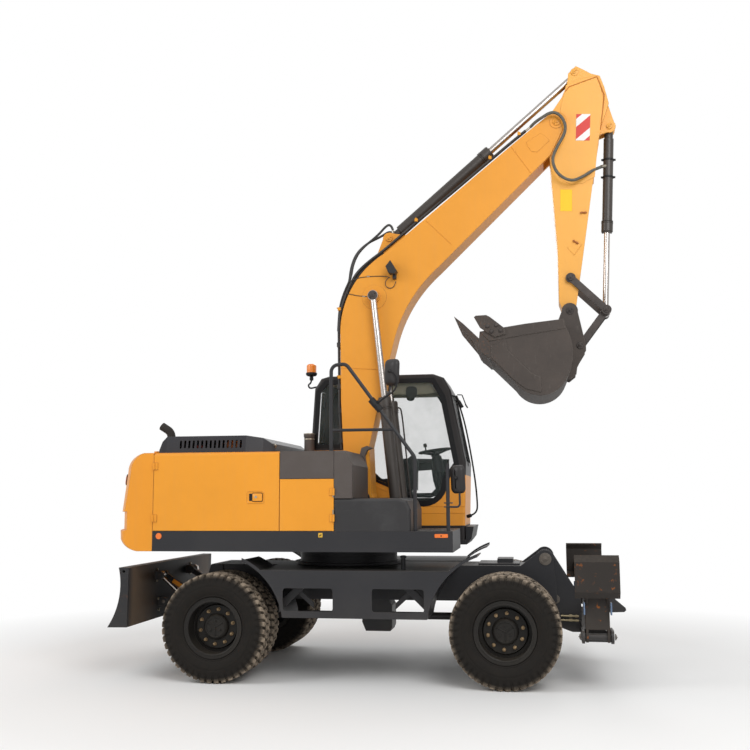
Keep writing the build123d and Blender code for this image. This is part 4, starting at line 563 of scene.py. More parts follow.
# Stabiliser legs stand folded at the front. Their feet are bent plate, rusted where stones have
# struck, and blue-grey guides hug each leg post. Two hydraulic fittings show behind the wheel.
foot_steel = painted("foot_spray", (0.026, 0.021, 0.018, 1), (0.12, 0.07, 0.04, 1), mud=0.12, rust=1.0, roughness=0.55)
dress(foot_steel, "leg_right", "leg_left")
blue_grey = painted("blue_grey_spray", (0.13, 0.19, 0.30, 1), (0.30, 0.30, 0.30, 1), dust=0.2)
guide_corners = ((1.106, 0.800), (1.180, 0.800), (1.196, 0.745), (1.182, 0.690), (1.106, 0.690))
for side, name in both_sides:
    joined(f"leg_guides_{name}", [plate([(side * y, z) for y, z in guide_corners], x, x + 0.012, axis=0)
                                  for x in (2.118, 2.360)], blue_grey, f"leg_{name}")
    pin_heads(f"leg_pins_{name}", [((x, side * 1.060, 0.480), (out, 0, 0)) for x, out in ((2.401, 1), (2.089, -1))],
              pins, "chassis", 0.030)
    pin_heads(f"leg_cylinder_pins_{name}", [((2.315, side * 0.250, 0.860), (1, 0, 0))], pins, "chassis", 0.024)
    gland(f"leg_gland_{name}", (2.245, side * 0.250, 0.860), (2.245, side * 0.960, 0.810), 0.645, 0.052,
          f"leg_barrel_{name}", count=6)
pin_heads("lug_pins", mirrored(1.789, 0.3305, 1.140), pins, "chassis", 0.062)
pin_heads("lug_low_pins", mirrored(1.880, 0.3005, 0.740), pins, "chassis", 0.045)
brass_pipe = plated("brass_fittings", (0.36, 0.30, 0.19, 1), roughness=0.36, tarnish=0.7)
fittings, pipe_y = [], -0.345
for z in (0.583, 0.541):
    fittings += [rod((1.95, -0.2992, z), (1.95, pipe_y, z), 0.012, 6),
                 rod((1.93, pipe_y, z), (2.105, pipe_y, z - 0.004), 0.010),
                 rod((2.01, pipe_y, z), (2.04, pipe_y, z), 0.016, 6),
                 rod((2.07, pipe_y, z - 0.003), (2.09, pipe_y, z - 0.003), 0.014, 6)]
joined("stabiliser_fittings", fittings, brass_pipe, "chassis")


# Side steps are bent sheet with two windows a side. Diagonal stiffeners show behind the windows,
# and a grease post stands on the deck in front of the slewing ring.
braces = []
for side, _ in both_sides:
    for x_low, x_high in ((-0.78, -0.44), (0.69, 0.36)):
        foot_end = x_high + (x_high - x_low) * 0.25
        braces += [plate([(x_low, 0.660), (x_low, 0.760), (x_high, 1.060), (foot_end, 1.060)],
                         side * 1.100, side * 1.112),
                   plate([(x_low, 1.060), (x_low, 1.000), (x_high, 0.700), (x_high, 0.760)],
                         side * 1.060, side * 1.070)]
joined("skirt_braces", braces, charcoal, "chassis")
joined("grease_post", [rod((0.43, -1.00, low), (0.43, -1.00, high), radius, 20, dome=0.006)
                       for low, high, radius in ((1.074, 1.185, 0.022), (1.185, 1.203, 0.030))],
       charcoal, "chassis")


# The swing deck's belts are charcoal sheet with a rubbed lower edge. Reflectors are pressed
# plastic, stuck on: an orange disc at the rear, a small yellow square, an orange bar at the front.
def lens(name, colour, painted_glow=0.0):
    """Moulded clear plastic over a prismatic back. painted_glow sets its emission, a painted glow: no lamp in the scene
    lights it from within.
    """
    material, shader, place = surface(name, {"Coat Weight": 0.6, "Emission Color": colour, "Emission Strength": painted_glow})
    prisms = place.cells(260.0, "DISTANCE_TO_EDGE")
    (prisms * 3.0).held().tones(scaled(colour, 0.6), colour).into(shader, "Base Color")
    (0.12 + place.noise(30.0, 3.0) * 0.25).held().into(shader, "Roughness")
    prisms.bump(0.2, 0.001).into(shader, "Normal")
    return material


def rounded(x_from, x_to, z_from, z_to, radius, steps=5):
    """Corners of a rectangle with round corners, in order."""
    corners = []
    for cx, cz, turn in ((x_to - radius, z_to - radius, 0), (x_from + radius, z_to - radius, 1),
                         (x_from + radius, z_from + radius, 2), (x_to - radius, z_from + radius, 3)):
        for step in range(steps):
            angle = pi / 2 * (turn + step / (steps - 1))
            corners.append((cx + radius * cos(angle), cz + radius * sin(angle)))
    return corners


side_y = 1.245
# The orange and yellow lenses glow a little by painted_glow: painted light, as reflectors and the marker are no lamps.
orange_lens = lens("orange_lens", (0.95, 0.20, 0.02, 1), painted_glow=0.12)
yellow_lens = lens("yellow_lens", (0.85, 0.50, 0.04, 1), painted_glow=0.05)
black_trim = painted("black_trim", (0.010, 0.010, 0.011, 1), (0.05, 0.05, 0.05, 1), dust=0.12, roughness=0.5)
for side, name in both_sides:
    joined(f"rear_reflector_{name}", [rod((-1.970, side * side_y, 1.398), (-1.970, side * (side_y + 0.004), 1.398),
                                          0.030, 40, dome=0.001)], orange_lens, "upper")
lens_square, square_marks = rounded(-0.358, -0.316, 1.388, 1.431, 0.006), (
    [(-0.350, 1.402), (-0.343, 1.396), (-0.336, 1.409), (-0.343, 1.416)],
    [(-0.338, 1.408), (-0.331, 1.402), (-0.324, 1.415), (-0.331, 1.421)])
marker_bar, screw_x, screw_z = rounded(0.762, 0.888, 1.387, 1.422, 0.008), 0.825, 1.4045
for name, parts, material in (
        ("square_reflector", [plate(lens_square, -side_y, -side_y - 0.004)], yellow_lens),
        ("square_reflector_marks", [plate(mark, -side_y - 0.0035, -side_y - 0.0048, edge=0.0005)
                                    for mark in square_marks], black_trim),
        ("front_marker", [plate(marker_bar, -side_y, -side_y - 0.006, edge=0.003)], orange_lens),
        ("front_marker_screw", [rod((screw_x, -side_y - 0.005, screw_z), (screw_x, -side_y - 0.0085, screw_z),
                                    0.007, 12)], black_trim)):
    joined(name, parts, material, "upper")


# The body panels and counterweight wear one orange-yellow enamel, baked and glossy. Rain has drawn
# dust down them. The counterweight is a heavy casting, its enamel rougher and more streaked than the sheet's.
enamel_worn = (0.30, 0.14, 0.04, 1)
body_enamel = painted("body_enamel", (0.79, 0.315, 0.026, 1), enamel_worn, dust=0.08, roughness=0.36, coat=0.15,
                      streaks=0.07, bevel=0.008)
dress(body_enamel, "door_right_rear", "door_right_front", "door_left", "top_cover")
weight_enamel = painted("weight_enamel", (0.78, 0.300, 0.024, 1), enamel_worn, dust=0.08, roughness=0.42, coat=0.12,
                        streaks=0.09, bevel=0.012)
dress(weight_enamel, "counterweight")


def on_tail(y, z):
    """The counterweight's rear surface at this y and z, and its outward direction."""
    met, spot, out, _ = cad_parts["counterweight"].ray_cast(Vector((-4.0, y, z)), Vector((1, 0, 0)))
    return (spot, out) if met else (Vector((-2.6, y, z)), Vector((-1, 0, 0)))


def laid_on_tail(side, y_from, y_to, z_from, z_to, proud, rows=4, cols=8):
    """A shallow shell over the curved rear, its rim sunk in and its outer edge eased."""
    wide, points = cols + 1, []
    for layer in (-0.010, proud):
        for i in range(rows + 1):
            for j in range(wide):
                spot, out = on_tail(side * (y_from + (y_to - y_from) * j / cols), z_from + (z_to - z_from) * i / rows)
                ease = 0.004 if layer > 0 and (i in (0, rows) or j in (0, cols)) else 0.0
                points.append(spot + out * (layer - ease))
    layer_size = (rows + 1) * wide
    faces = [(a, a + 1, a + wide + 1, a + wide)
             for i in range(rows) for j in range(cols) for a in (layer_size + i * wide + j,)]
    rim = ([j for j in range(wide)] + [i * wide + cols for i in range(1, rows + 1)]
           + [rows * wide + j for j in range(cols - 1, -1, -1)] + [i * wide for i in range(rows - 1, 0, -1)])
    return points, faces + [(a, b, b + layer_size, a + layer_size) for a, b in zip(rim, rim[1:] + rim[:1])]


# The red lens glows a little by painted_glow: painted light, as no lamp lights the tail lamps from within.
red_lens = lens("red_lens", (0.60, 0.015, 0.01, 1), painted_glow=0.05)
for side, name in both_sides:
    for part, material, slot, y_from, y_to, z_from, z_to, proud in (
            ("case", black_trim, "charcoal_paint", 0.66, 0.96, 1.905, 2.015, 0.012),
            ("red", red_lens, "beacon_orange", 0.67, 0.81, 1.915, 2.005, 0.016),
            ("amber", orange_lens, "beacon_orange", 0.82, 0.95, 1.915, 2.005, 0.016)):
        joined(f"tail_lamp_{part}_{name}", [laid_on_tail(side, y_from, y_to, z_from, z_to, proud)], material, "upper")
joined("counterweight_bolts", [rod((-2.26, side * 0.62, low), (-2.26, side * 0.62, high), radius, sides, dome=0.004)
                               for side, _ in both_sides
                               for low, high, radius, sides in ((2.217, 2.232, 0.060, 32), (2.232, 2.262, 0.034, 6))],
       weight_enamel, "upper")


# Each engine door has a pressed recess with a paddle latch and a key barrel. The latch is cast,
# painted with the door, and sits in a rubber seal.
key_z = 1.7765
for body, side, x_low in (("door_right_rear", -1, -1.078), ("door_left", 1, -1.230)):
    wall = side * (side_y + 0.0005)
    key_x = x_low + 0.098
    bead = [(x, wall + side * proud, z) for inset, low, high, radius, proud in (
        (0.000, 1.709, 1.836, 0.022, 0.0), (0.006, 1.715, 1.830, 0.020, 0.006), (0.014, 1.723, 1.822, 0.016, -0.0004))
            for x, z in rounded(x_low + inset, x_low + 0.182 - inset, low, high, radius)]
    paddle = plate(rounded(x_low + 0.062, x_low + 0.160, 1.735, 1.812, 0.014), wall - side * 0.001,
                   wall + side * 0.010, edge=0.005)
    joined(f"latch_frame_{body}", [(bead, quads(3, len(bead) // 3)), paddle], body_enamel, body,
           smooth_angle=50)
    joined(f"latch_seal_{body}",
           [plate(rounded(x_low + near, x_low + far, low, high, radius), wall - side * 0.001, wall + side * proud,
                  edge=0.001) for near, far, low, high, radius, proud in
            ((0.056, 0.166, 1.729, 1.818, 0.016, 0.002), (0.028, 0.058, 1.738, 1.809, 0.008, 0.003))],
           black_trim, body)
    joined(f"latch_key_{body}",
           [rod((key_x, wall + side * 0.009, key_z), (key_x, wall + side * 0.014, key_z), 0.013, 24, dome=0.001),
            rod((key_x, wall + side * 0.013, key_z), (key_x, wall + side * 0.016, key_z), 0.006, 12)],
           dull_zinc, body)
joined("front_door_hinge_pins", [rod((-0.212, -1.2515, z - 0.03), (-0.212, -1.2515, z + 0.03), 0.006, 12)
                                 for z in (1.62, 1.80)], dull_zinc, "upper")


# The hood is a moulded lid in blue-black gloss, slotted along its sides, over the engine's air
# box. Red and orange parts show through the slots, and a silver toggle clasps its nose.
hood_gloss = painted("hood_gloss", (0.030, 0.031, 0.037, 1), (0.14, 0.13, 0.12, 1), dust=0.15, roughness=0.34,
                     coat=0.10)
dress(hood_gloss, "engine_hood")
red_hose = painted("red_pipe", (0.35, 0.03, 0.015, 1), (0.5, 0.2, 0.1, 1), dust=0.3)
orange_box = painted("orange_box", (0.72, 0.20, 0.03, 1), (0.3, 0.12, 0.04, 1), dust=0.3)
engine_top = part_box("engine_block")[1].z - 0.002
box_corners = [(-1.470, 2.285), (-1.300, 2.285), (-1.300, 2.345), (-1.320, 2.360), (-1.450, 2.360), (-1.470, 2.345)]
for side, name in both_sides:
    joined(f"air_pipe_{name}", [rod((-1.775, side * 0.745, 2.300), (-1.700, side * 0.745, 2.300), 0.022, 20),
                                rod((-1.7375, side * 0.745, 2.300), (-1.7375, side * 0.70, engine_top), 0.016)],
           red_hose, "upper")
    joined(f"air_box_{name}", [plate(box_corners, side * 0.700, side * 0.765, edge=0.006),
                               rod((-1.385, side * 0.72, 2.300), (-1.385, side * 0.69, engine_top), 0.020)],
           orange_box, "upper")
joined("hood_clasps",
       [form for side, _ in both_sides for form in
        (rod((-0.952, side * 0.660, 2.262), (-0.952, side * 0.690, 2.268), 0.016, 20, dome=0.004),
         rod((-0.960, side * 0.690, 2.258), (-0.935, side * 0.700, 2.300), 0.007, 12),
         rod((-0.935, side * 0.700, 2.300), (-0.950, side * 0.686, 2.318), 0.010, 12, dome=0.003))],
       dull_zinc, "hood")
heat_black = cast("heat_black", (0.022, 0.019, 0.017, 1), rough=0.75, grit=0.8)
dress(heat_black, "exhaust")


# Dark covers by the boom are moulded plastic with a fine grain. The round air cleaner has a pale
# cap, and a strut with orange bands holds the curved guard.
def moulded(name, colour, pebble=0.35, roughness=0.48, coat=0.1):
    """Grained plastic, greyed by sun on top, with scuffs."""
    material, shader, place = surface(name, {"Specular IOR Level": 0.3, "Coat Weight": coat})
    sunned = ((place.facing().along("Z") - 0.2) * 0.9).held() * 0.35
    clouded = (place.noise(3.0, 6.0, 0.65) - 0.5).held() * 0.6
    scuffed = ((place.stretched((3.0, 14.0, 30.0)).noise(2.5, 5.0, 0.7) - 0.62) * 6.0).held() * 0.25
    greyed = (sunned + clouded + scuffed).held()
    greyed.tones(colour, scaled(colour, 0.6, lift=0.11)).into(shader, "Base Color")
    (roughness + greyed * 0.25).held().into(shader, "Roughness")
    place.cells(420.0).bump(pebble, 0.0006, place.eased(0.010)).into(shader, "Normal")
    return material


cover_plastic = moulded("cover_plastic", (0.082, 0.068, 0.061, 1))
dress(cover_plastic, "dark_covers")
box_plastic = moulded("tool_box_spray", (0.030, 0.029, 0.030, 1), pebble=0.2, coat=0.05)
dress(box_plastic, "tool_box")
joined("air_cleaner_cap", [rod((-0.807, 0.270, 2.481), (-0.807, 0.270, 2.490), 0.066, 40, dome=0.004),
                           rod((-0.807, 0.270, 2.420), (-0.807, 0.270, 2.432), 0.0605, 40)],
       dull_zinc, "upper")
joined("tool_box_lip", [plate([(-0.190, 1.7600), (0.420, 1.7600), (0.420, 1.7640), (-0.190, 1.7640)], -1.200, -0.380,
                              edge=0.001)], black_trim, "upper")
strut_steel = plated("strut_steel", (0.75, 0.73, 0.70, 1), roughness=0.22)
# The strut's orange bands take orange_lens, so they glow with its painted light.
for name, material, slot, sides, runs in (
        ("guard_strut", black_trim, "charcoal_paint", 20, ((-0.150, 1.800, -0.092, 2.060, 0.011),)),
        ("guard_strut_rod", strut_steel, "chrome", 16, ((-0.119, 1.940, -0.076, 2.130, 0.006),)),
        ("guard_strut_bands", orange_lens, "charcoal_paint", 20, ((-0.112, 1.970, -0.105, 2.003, 0.0125),
                                                                  (-0.130, 1.890, -0.1255, 1.910, 0.0125)))):
    joined(name, [rod((x, -0.326, z), (x_to, -0.326, z_to), radius, sides) for x, z, x_to, z_to, radius in runs],
           material, "upper")


# The front step has a pressed anti-slip plate on its tread: rows of small raised buttons on a
# thin sheet, sprayed with the deck.
tread_z = 1.4465
buttons = [rod((x, y, tread_z), (x, y, tread_z + 0.005), 0.011, 10, dome=0.002)
           for x in (0.600 + 0.036 * i for i in range(9)) for y in (-1.195 + 0.045 * j for j in range(12))]
joined("step_buttons", [plate([(0.585, -1.215), (0.905, -1.215), (0.905, -0.680), (0.585, -0.680)], tread_z,
                              tread_z + 0.0025, axis=2, edge=0.001)] + buttons, charcoal, "upper")


# The cab is a welded tube frame, charcoal above and yellow below the windows, with panes glued
# behind black borders. A pale green-grey lining covers the roof inside.
def cab_tones(place):
    """Charcoal, with yellow side panels under the windows and ahead of the door."""
    x, y, z = (place.along(axis) for axis in "XYZ")
    outside = (y < 0.352) + (y > 1.2385) + (x > 0.915)
    low = (z > 1.457) * (z < 1.960 + 0.05 * (x > 0.75))
    forward = (z < 2.30) * (x < 0.1) * (z > 1.457)
    mask = (outside * (low + forward)).held()
    return mask.tones((0.026, 0.023, 0.023, 1), (0.82, 0.325, 0.038, 1))


cab_paint = painted("cab_spray", (0.026, 0.023, 0.023, 1), (0.12, 0.11, 0.10, 1), dust=0.12, roughness=0.38, coat=0.10,
                    streaks=0.05, tone_at=cab_tones)
dress(cab_paint, "cab_shell", "cab_door")
glass, shader, place = surface("tinted_glass", {"Specular IOR Level": 0.8})
dusty = ((place.noise(2.2, 5.0, 0.6) - 0.48) * 2.0).held() * (0.5 + place.noise(60.0, 3.0)) * 0.25
dusty.held().tones((0.10, 0.14, 0.13, 1), (0.42, 0.38, 0.32, 1)).into(shader, "Base Color")
(0.10 + dusty * 0.5).held().into(shader, "Alpha")
(0.04 + dusty * 0.5).held().into(shader, "Roughness")
dress(glass, "cab_glass", "door_glass")


def ring_form(outer, inner, depth_from, depth_to):
    """A flat frame between two outlines of as many points, standing off a side wall."""
    points = [(x, depth, z) for outline, depth in (
        (outer, depth_from), (outer, depth_to), (inner, depth_to), (inner, depth_from)) for x, z in outline]
    return points, quads(4, len(outer), closed=True)


def spread(outline, out):
    """The outline moved outward along its corners' middles, by out."""
    moved = []
    for i, point in enumerate(outline):
        before = (Vector(point) - Vector(outline[i - 1])).normalized()
        after = (Vector(outline[(i + 1) % len(outline)]) - Vector(point)).normalized()
        normal = Vector((before.y + after.y, -before.x - after.x)).normalized()
        moved.append((point[0] + normal.x * out, point[1] + normal.y * out))
    return moved


def belly(points, steps=10):
    """Points on the circle through three points, from the first to the last."""
    a, b, c = (Vector(p) for p in points)
    d = 2 * (a.x * (b.y - c.y) + b.x * (c.y - a.y) + c.x * (a.y - b.y))
    squares = (a.length_squared, b.length_squared, c.length_squared)
    middle = Vector((sum(s * v for s, v in zip(squares, (b.y - c.y, c.y - a.y, a.y - b.y))) / d,
                     sum(s * v for s, v in zip(squares, (c.x - b.x, a.x - c.x, b.x - a.x))) / d))
    radius = (a - middle).length
    first, last = (atan2(end.y - middle.y, end.x - middle.x) for end in (a, c))
    while last < first:
        last += 2 * pi
    return [(middle.x + radius * cos(first + (last - first) * k / steps),
             middle.y + radius * sin(first + (last - first) * k / steps)) for k in range(steps + 1)]


gasket = painted("window_border", (0.006, 0.006, 0.007, 1), (0.03, 0.03, 0.03, 1), dust=0.05, roughness=0.35)
right_window = [(-0.150, 3.060), (-0.150, 2.030), (0.080, 1.938)] + belly(
    [(0.270, 1.839), (0.495, 1.716), (0.700, 1.958)]) + [(0.830, 2.140), (0.690, 2.880), (0.590, 3.060)]
quarter_window = [(-0.215, 3.060), (-0.620, 3.060), (-0.700, 2.960), (-0.735, 2.360), (-0.215, 2.360)]
joined("window_borders", [ring_form(spread(window, 0.052), spread(window, -0.012), 0.3455, 0.3415)
                          for window in (right_window, quarter_window)], gasket, "upper")
lining = moulded("roof_lining", (0.235, 0.225, 0.165, 1), pebble=0.15, roughness=0.75, coat=0.0)
ceiling = [(-0.60, 3.095), (0.58, 3.095), (0.70, 3.045), (0.755, 2.945), (0.735, 2.930), (0.66, 3.000), (0.56, 3.035),
           (-0.56, 3.035)]
# corner_shade_outline outlines a dark block of painted shade in the cab's right-rear corner.
header, near_header, corner_shade_outline = (
    [(-0.20, 3.035), (0.58, 3.035), (0.60, 2.975), (-0.20, 2.975)],
    [(-0.20, 3.035), (0.56, 3.035), (0.62, 2.935), (0.52, 2.925), (-0.20, 2.925)],
    [(-0.726, 2.380), (-0.660, 2.380), (-0.645, 2.960), (-0.692, 2.960)])
for name, material, *plates in (
        ("roof_lining", lining, (ceiling, 0.392, 1.198, 0.004)),
        ("door_header_lining", lining, (header, 1.160, 1.200, 0.003), (near_header, 0.392, 0.402, 0.001)),
        # The black block in the cab's right-rear corner is painted shade: a dark sheet where the rear window lies in
        # the shadow of the seat and the dark inside.
        ("rear_corner_duct", black_trim, (corner_shade_outline, 0.400, 0.830, 0.010)),
        ("inner_mirror", black_trim, (rounded(0.288, 0.415, 2.885, 3.015, 0.040), 0.372, 0.388, 0.006)),
        ("sun_visor", black_trim, (rounded(0.195, 0.295, 2.925, 3.075, 0.040), 1.120, 1.150, 0.010))):
    joined(name, [plate(outline, near, far, edge=edge) for outline, near, far, edge in plates], material, "upper")


# The driver's seat is sewn cloth over foam, cushion and back, on a plastic shroud. Both pads are
# soft, so each is a crowned form blown up by a short cloth run, then sewn in channels.
cloth, shader, place = surface("seat_cloth", {"Roughness": 0.85, "Sheen Weight": 0.3})
weft, warp = (place.make("TexWave", {"wave_type": "BANDS", "bands_direction": axis}, {"Vector": place, "Scale": 160.0})
              for axis in "XZ")
weave = (weft * warp).held()
faded = (weave * 0.5 + place.noise(6.0, 5.0) * 0.5).held()
faded.tones((0.022, 0.023, 0.026, 1), (0.085, 0.085, 0.090, 1)).into(shader, "Base Color")
weave.bump(0.4, 0.001).into(shader, "Normal")


def blown_up(piece, pressure, cap, frames=20):
    """A short cloth run under air pressure; no point goes further than the cap."""
    air = piece.modifiers.new("air", "CLOTH")
    air.settings.use_pressure = True
    air.settings.uniform_pressure_force = pressure
    air.settings.effector_weights.gravity = 0
    scene = bpy.context.scene
    for step in range(1, frames + 1):
        scene.frame_set(step)
    swollen = piece.evaluated_get(bpy.context.evaluated_depsgraph_get()).data
    moves = [new.co - old.co for old, new in zip(piece.data.vertices, swollen.vertices)]
    piece.modifiers.remove(air)
    scene.frame_set(1)
    for vertex, move in zip(piece.data.vertices, moves):
        vertex.co += move * min(1.0, cap / max(move.length, 1e-9))


def pad(name, size, place, lean, channels, nx=28, ny=26):
    """A sewn cushion: crowned faces, sides drawn in between its corners, channels across."""
    wide, deep, thick = size
    form = bmesh.new()
    sheets = []
    for top in (1, -1):
        rows = []
        for i in range(nx + 1):
            row = []
            for j in range(ny + 1):
                u, v = 2 * i / nx - 1, 2 * j / ny - 1
                pinch = 1 - 0.035 * (1 - u * u) * abs(v)
                crown = (1 - abs(u) ** 4) * (1 - abs(v) ** 4)
                lift = thick * (0.24 + 0.22 * crown) if top > 0 else -thick * (0.24 + 0.08 * crown)
                row.append(form.verts.new((wide / 2 * u * (1 - 0.03 * (1 - v * v)), deep / 2 * v * pinch, lift)))
            rows.append(row)
        for i in range(nx):
            for j in range(ny):
                quad = (rows[i][j], rows[i + 1][j], rows[i + 1][j + 1], rows[i][j + 1])
                form.faces.new(quad if top > 0 else quad[::-1])
        sheets.append(rows)
    upper, lower = sheets
    edge = ([(i, 0) for i in range(nx)] + [(nx, j) for j in range(ny)] + [(i, ny) for i in range(nx, 0, -1)]
            + [(0, j) for j in range(ny, 0, -1)])
    for (i, j), (m, n) in zip(edge, edge[1:] + edge[:1]):
        form.faces.new((lower[i][j], lower[m][n], upper[m][n], upper[i][j]))
    bmesh.ops.recalc_face_normals(form, faces=form.faces)
    mesh = bpy.data.meshes.new(name)
    form.to_mesh(mesh)
    form.free()
    piece = mesh_object(name, mesh, cloth)
    mesh.shade_smooth()
    blown_up(piece, pressure=4, cap=0.008)
    for vertex in mesh.vertices[:(nx + 1) * (ny + 1)]:
        u, v = 2 * (vertex.index // (ny + 1)) / nx - 1, 2 * (vertex.index % (ny + 1)) / ny - 1
        sewn = sum(max(0.0, 1 - abs(u - channel) / 0.05) for channel in channels)
        piped = max(0.0, 1 - abs(abs(v) - 0.66) / 0.05)
        vertex.co.z -= thick * (0.14 * sewn + 0.16 * piped)
    mesh.transform(Matrix.Translation(place) @ Matrix.Rotation(lean, 4, "Y"))
    rounding = piece.modifiers.new("rounding", "SUBSURF")
    rounding.levels = rounding.render_levels = 1
    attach(piece, "upper")


seat_y, floor_z = 0.795, 1.342
pad("seat_cushion", (0.500, 0.480, 0.150), (-0.040, seat_y, 1.845), radians(-4), (-0.35, 0.35))
pad("seat_back", (0.720, 0.440, 0.130), (-0.325, seat_y, 2.215), radians(-98), (-0.45, 0.0, 0.45))
shroud = moulded("seat_shroud", (0.030, 0.030, 0.032, 1), pebble=0.3)
seat_base = [plate([(-0.270, floor_z), (0.150, floor_z), (0.140, 1.640), (0.175, 1.720), (-0.300, 1.720),
                    (-0.260, 1.640)], 0.600, 0.990, edge=0.012),
             plate([(0.170, 1.850), (0.325, 1.850), (0.332, 2.200), (0.268, 2.270), (0.185, 2.205)], 1.040, 1.150,
                   edge=0.012)]
for side, _ in both_sides:
    lever_y = seat_y + side * 0.320
    seat_base += [plate([(-0.270, floor_z), (0.270, floor_z), (0.280, 1.780), (0.250, 1.870), (-0.200, 1.905),
                         (-0.270, 1.860)], seat_y + side * 0.265, seat_y + side * 0.375, edge=0.012),
                  plate([(-0.240, 1.905), (0.110, 1.945), (0.115, 1.985), (-0.240, 1.960)], seat_y + side * 0.262,
                        seat_y + side * 0.335, edge=0.010),
                  rod((0.205, lever_y, 1.860), (0.215, lever_y, 2.020), 0.010),
                  rod((0.215, lever_y, 2.010), (0.222, lever_y, 2.100), 0.024, 20, end_radius=0.020, dome=0.012)]
joined("seat_base", seat_base, shroud, "upper", smooth_angle=45)
joined("floor_mat", [plate([(-0.270, floor_z + 0.0001), (0.850, floor_z + 0.0001), (0.850, 1.3720), (-0.270, 1.3720)],
                           0.425, 1.165, edge=0.004)], black_trim, "upper")
hub, tilt = Vector((0.566, seat_y, 2.290)), Vector((-0.14, 0, 0.99)).normalized()
flat_x, flat_y = Vector((0.99, 0, 0.14)).normalized(), Vector((0, 1, 0))
around, tube_sides, rim_radius, rim_thick = 56, 12, 0.178, 0.014
rim_points = [hub + tilt * 0.012 + out * (rim_radius + rim_thick * cos(turn)) + tilt * rim_thick * sin(turn)
              for out in (flat_x * cos(2 * pi * i / around) + flat_y * sin(2 * pi * i / around) for i in range(around))
              for turn in (2 * pi * j / tube_sides for j in range(tube_sides))]
wheel_parts = [(rim_points, quads(around, tube_sides, closed=True))]
for angle in (0.5, 2.64, 4.71):
    out = flat_x * cos(angle) + flat_y * sin(angle)
    wheel_parts.append(rod(hub - tilt * 0.030, hub + tilt * 0.010 + out * 0.172, 0.018, 12, end_radius=0.010))
knob = hub + tilt * 0.020 + flat_x * rim_radius * cos(-2.07) + flat_y * rim_radius * sin(-2.07)
wheel_parts += [rod(hub - tilt * 0.052, hub - tilt * 0.012, 0.050, 28, dome=0.008),
                rod(knob, knob + tilt * 0.045, 0.008, 12),
                rod(knob + tilt * 0.040, knob + tilt * 0.075, 0.020, 20, dome=0.008)]
column_head = (0.583, seat_y, 2.235)
joined("steering_column", [rod((0.760, seat_y, 1.362), column_head, 0.052, 32, end_radius=0.040),
                           rod((0.620, seat_y, 2.050), column_head, 0.070, 32, end_radius=0.056, dome=0.01)],
       shroud, "upper", smooth_angle=45)
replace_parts(joined("steering_wheel", wheel_parts, black_trim, "upper", smooth_angle=45), "cab_interior")
joined("cab_switch_panel",
       [plate([(0.690, 1.420), (0.905, 1.420), (0.925, 2.080), (0.880, 2.140), (0.800, 2.060), (0.740, 1.800)], 0.395,
              0.470, edge=0.012),
        plate([(0.800, 2.020), (0.905, 2.060), (0.900, 2.105), (0.785, 2.060)], 0.470, 1.150, edge=0.008)],
       shroud, "upper", smooth_angle=45)


# Rails and posts on the right are bent steel tube in charcoal. Two mirrors hang from ball joints,
# and a black clamp block ties the upper mirror's arm to the rail.
def hose(name, points, radius, material, body):
    """A tube of rubber or steel along a smooth line through its points' hull."""
    line = bpy.data.curves.new(name, "CURVE")
    line.dimensions = "3D"
    line.bevel_depth = radius
    line.bevel_resolution = 4
    line.use_fill_caps = True
    line.resolution_u = 6
    spline = line.splines.new("NURBS")
    spline.points.add(len(points) - 1)
    for knot, point in zip(spline.points, points):
        knot.co = (*point, 1.0)
    spline.order_u = 3
    spline.use_endpoint_u = True
    piece = mesh_object(name, line, material)
    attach(piece, body)
    return piece


mirror_plastic = moulded("mirror_plastic", (0.022, 0.020, 0.020, 1), pebble=0.5)
mirror_silver = plated("mirror_silver", (0.80, 0.84, 0.86, 1), roughness=0.05, tarnish=0.05)


def mirror(name, middle, wide, tall, turn, lean):
    """A moulded housing with a rounded back, its silvered glass set into the other face."""
    place = Matrix.Translation(middle) @ Matrix.Rotation(turn, 4, "Z") @ Matrix.Rotation(lean, 4, "Y")

    def face(depth, shrink, radius):
        return [place @ Vector((x, depth, z)) for x, z in
                rounded(-wide / 2 + shrink, wide / 2 - shrink, -tall / 2 + shrink, tall / 2 - shrink, radius)]

    shells = ((0.030, 0.006), (0.026, 0.000), (0.004, 0.000), (-0.016, 0.010), (-0.028, 0.030), (-0.033, 0.058))
    points = [point for depth, shrink in shells for point in face(depth, shrink, 0.048 - shrink * 0.4)]
    rows, count = len(shells), len(points) // len(shells)
    housing = joined(f"mirror_housing_{name}", [(points, quads(rows, count) + caps(rows, count))], mirror_plastic,
                     "upper", smooth_angle=50)
    joined(f"mirror_glass_{name}", [(face(0.0305, 0.014, 0.040) + face(0.0320, 0.014, 0.040),
                                     quads(2, count) + caps(2, count))], mirror_silver, "upper")
    back, ball = place @ Vector((0.012, -0.030, 0.010)), place @ Vector((0.012, -0.052, 0.010))
    joined(f"mirror_ball_{name}", [rod(back, ball, 0.020, 24, end_radius=0.015, dome=0.006)], black_trim, "upper",
           smooth_angle=50)
    return housing, ball


_, high_ball = mirror("high", (0.341, -1.115, 2.985), 0.178, 0.262, radians(-38), radians(3))
low_mirror, _ = mirror("low", (0.978, -1.185, 1.934), 0.150, 0.268, radians(-32), radians(-2))
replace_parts(low_mirror, "mirrors")
hose("mirror_arm_high", [(0.205, -1.195, 2.655), (0.240, -1.190, 2.700), (0.322, -1.180, 2.752), (0.396, -1.175, 2.810),
                         (0.404, -1.180, 2.885), (0.402, -1.190, 2.955), tuple(high_ball)], 0.0085, black_trim,
     "upper")
joined("mirror_clamps",
       [rod((0.152, -1.195, 2.712), (0.245, -1.195, 2.606), 0.036, 8)]
       + [rod((x, -1.210, z), (x, -1.236, z), 0.012, 6) for x, z in ((0.225, 2.690), (0.200, 2.650))],
       black_trim, "upper")
rail_black = painted("rail_black", (0.010, 0.010, 0.011, 1), (0.05, 0.05, 0.05, 1), dust=0.1, roughness=0.4)
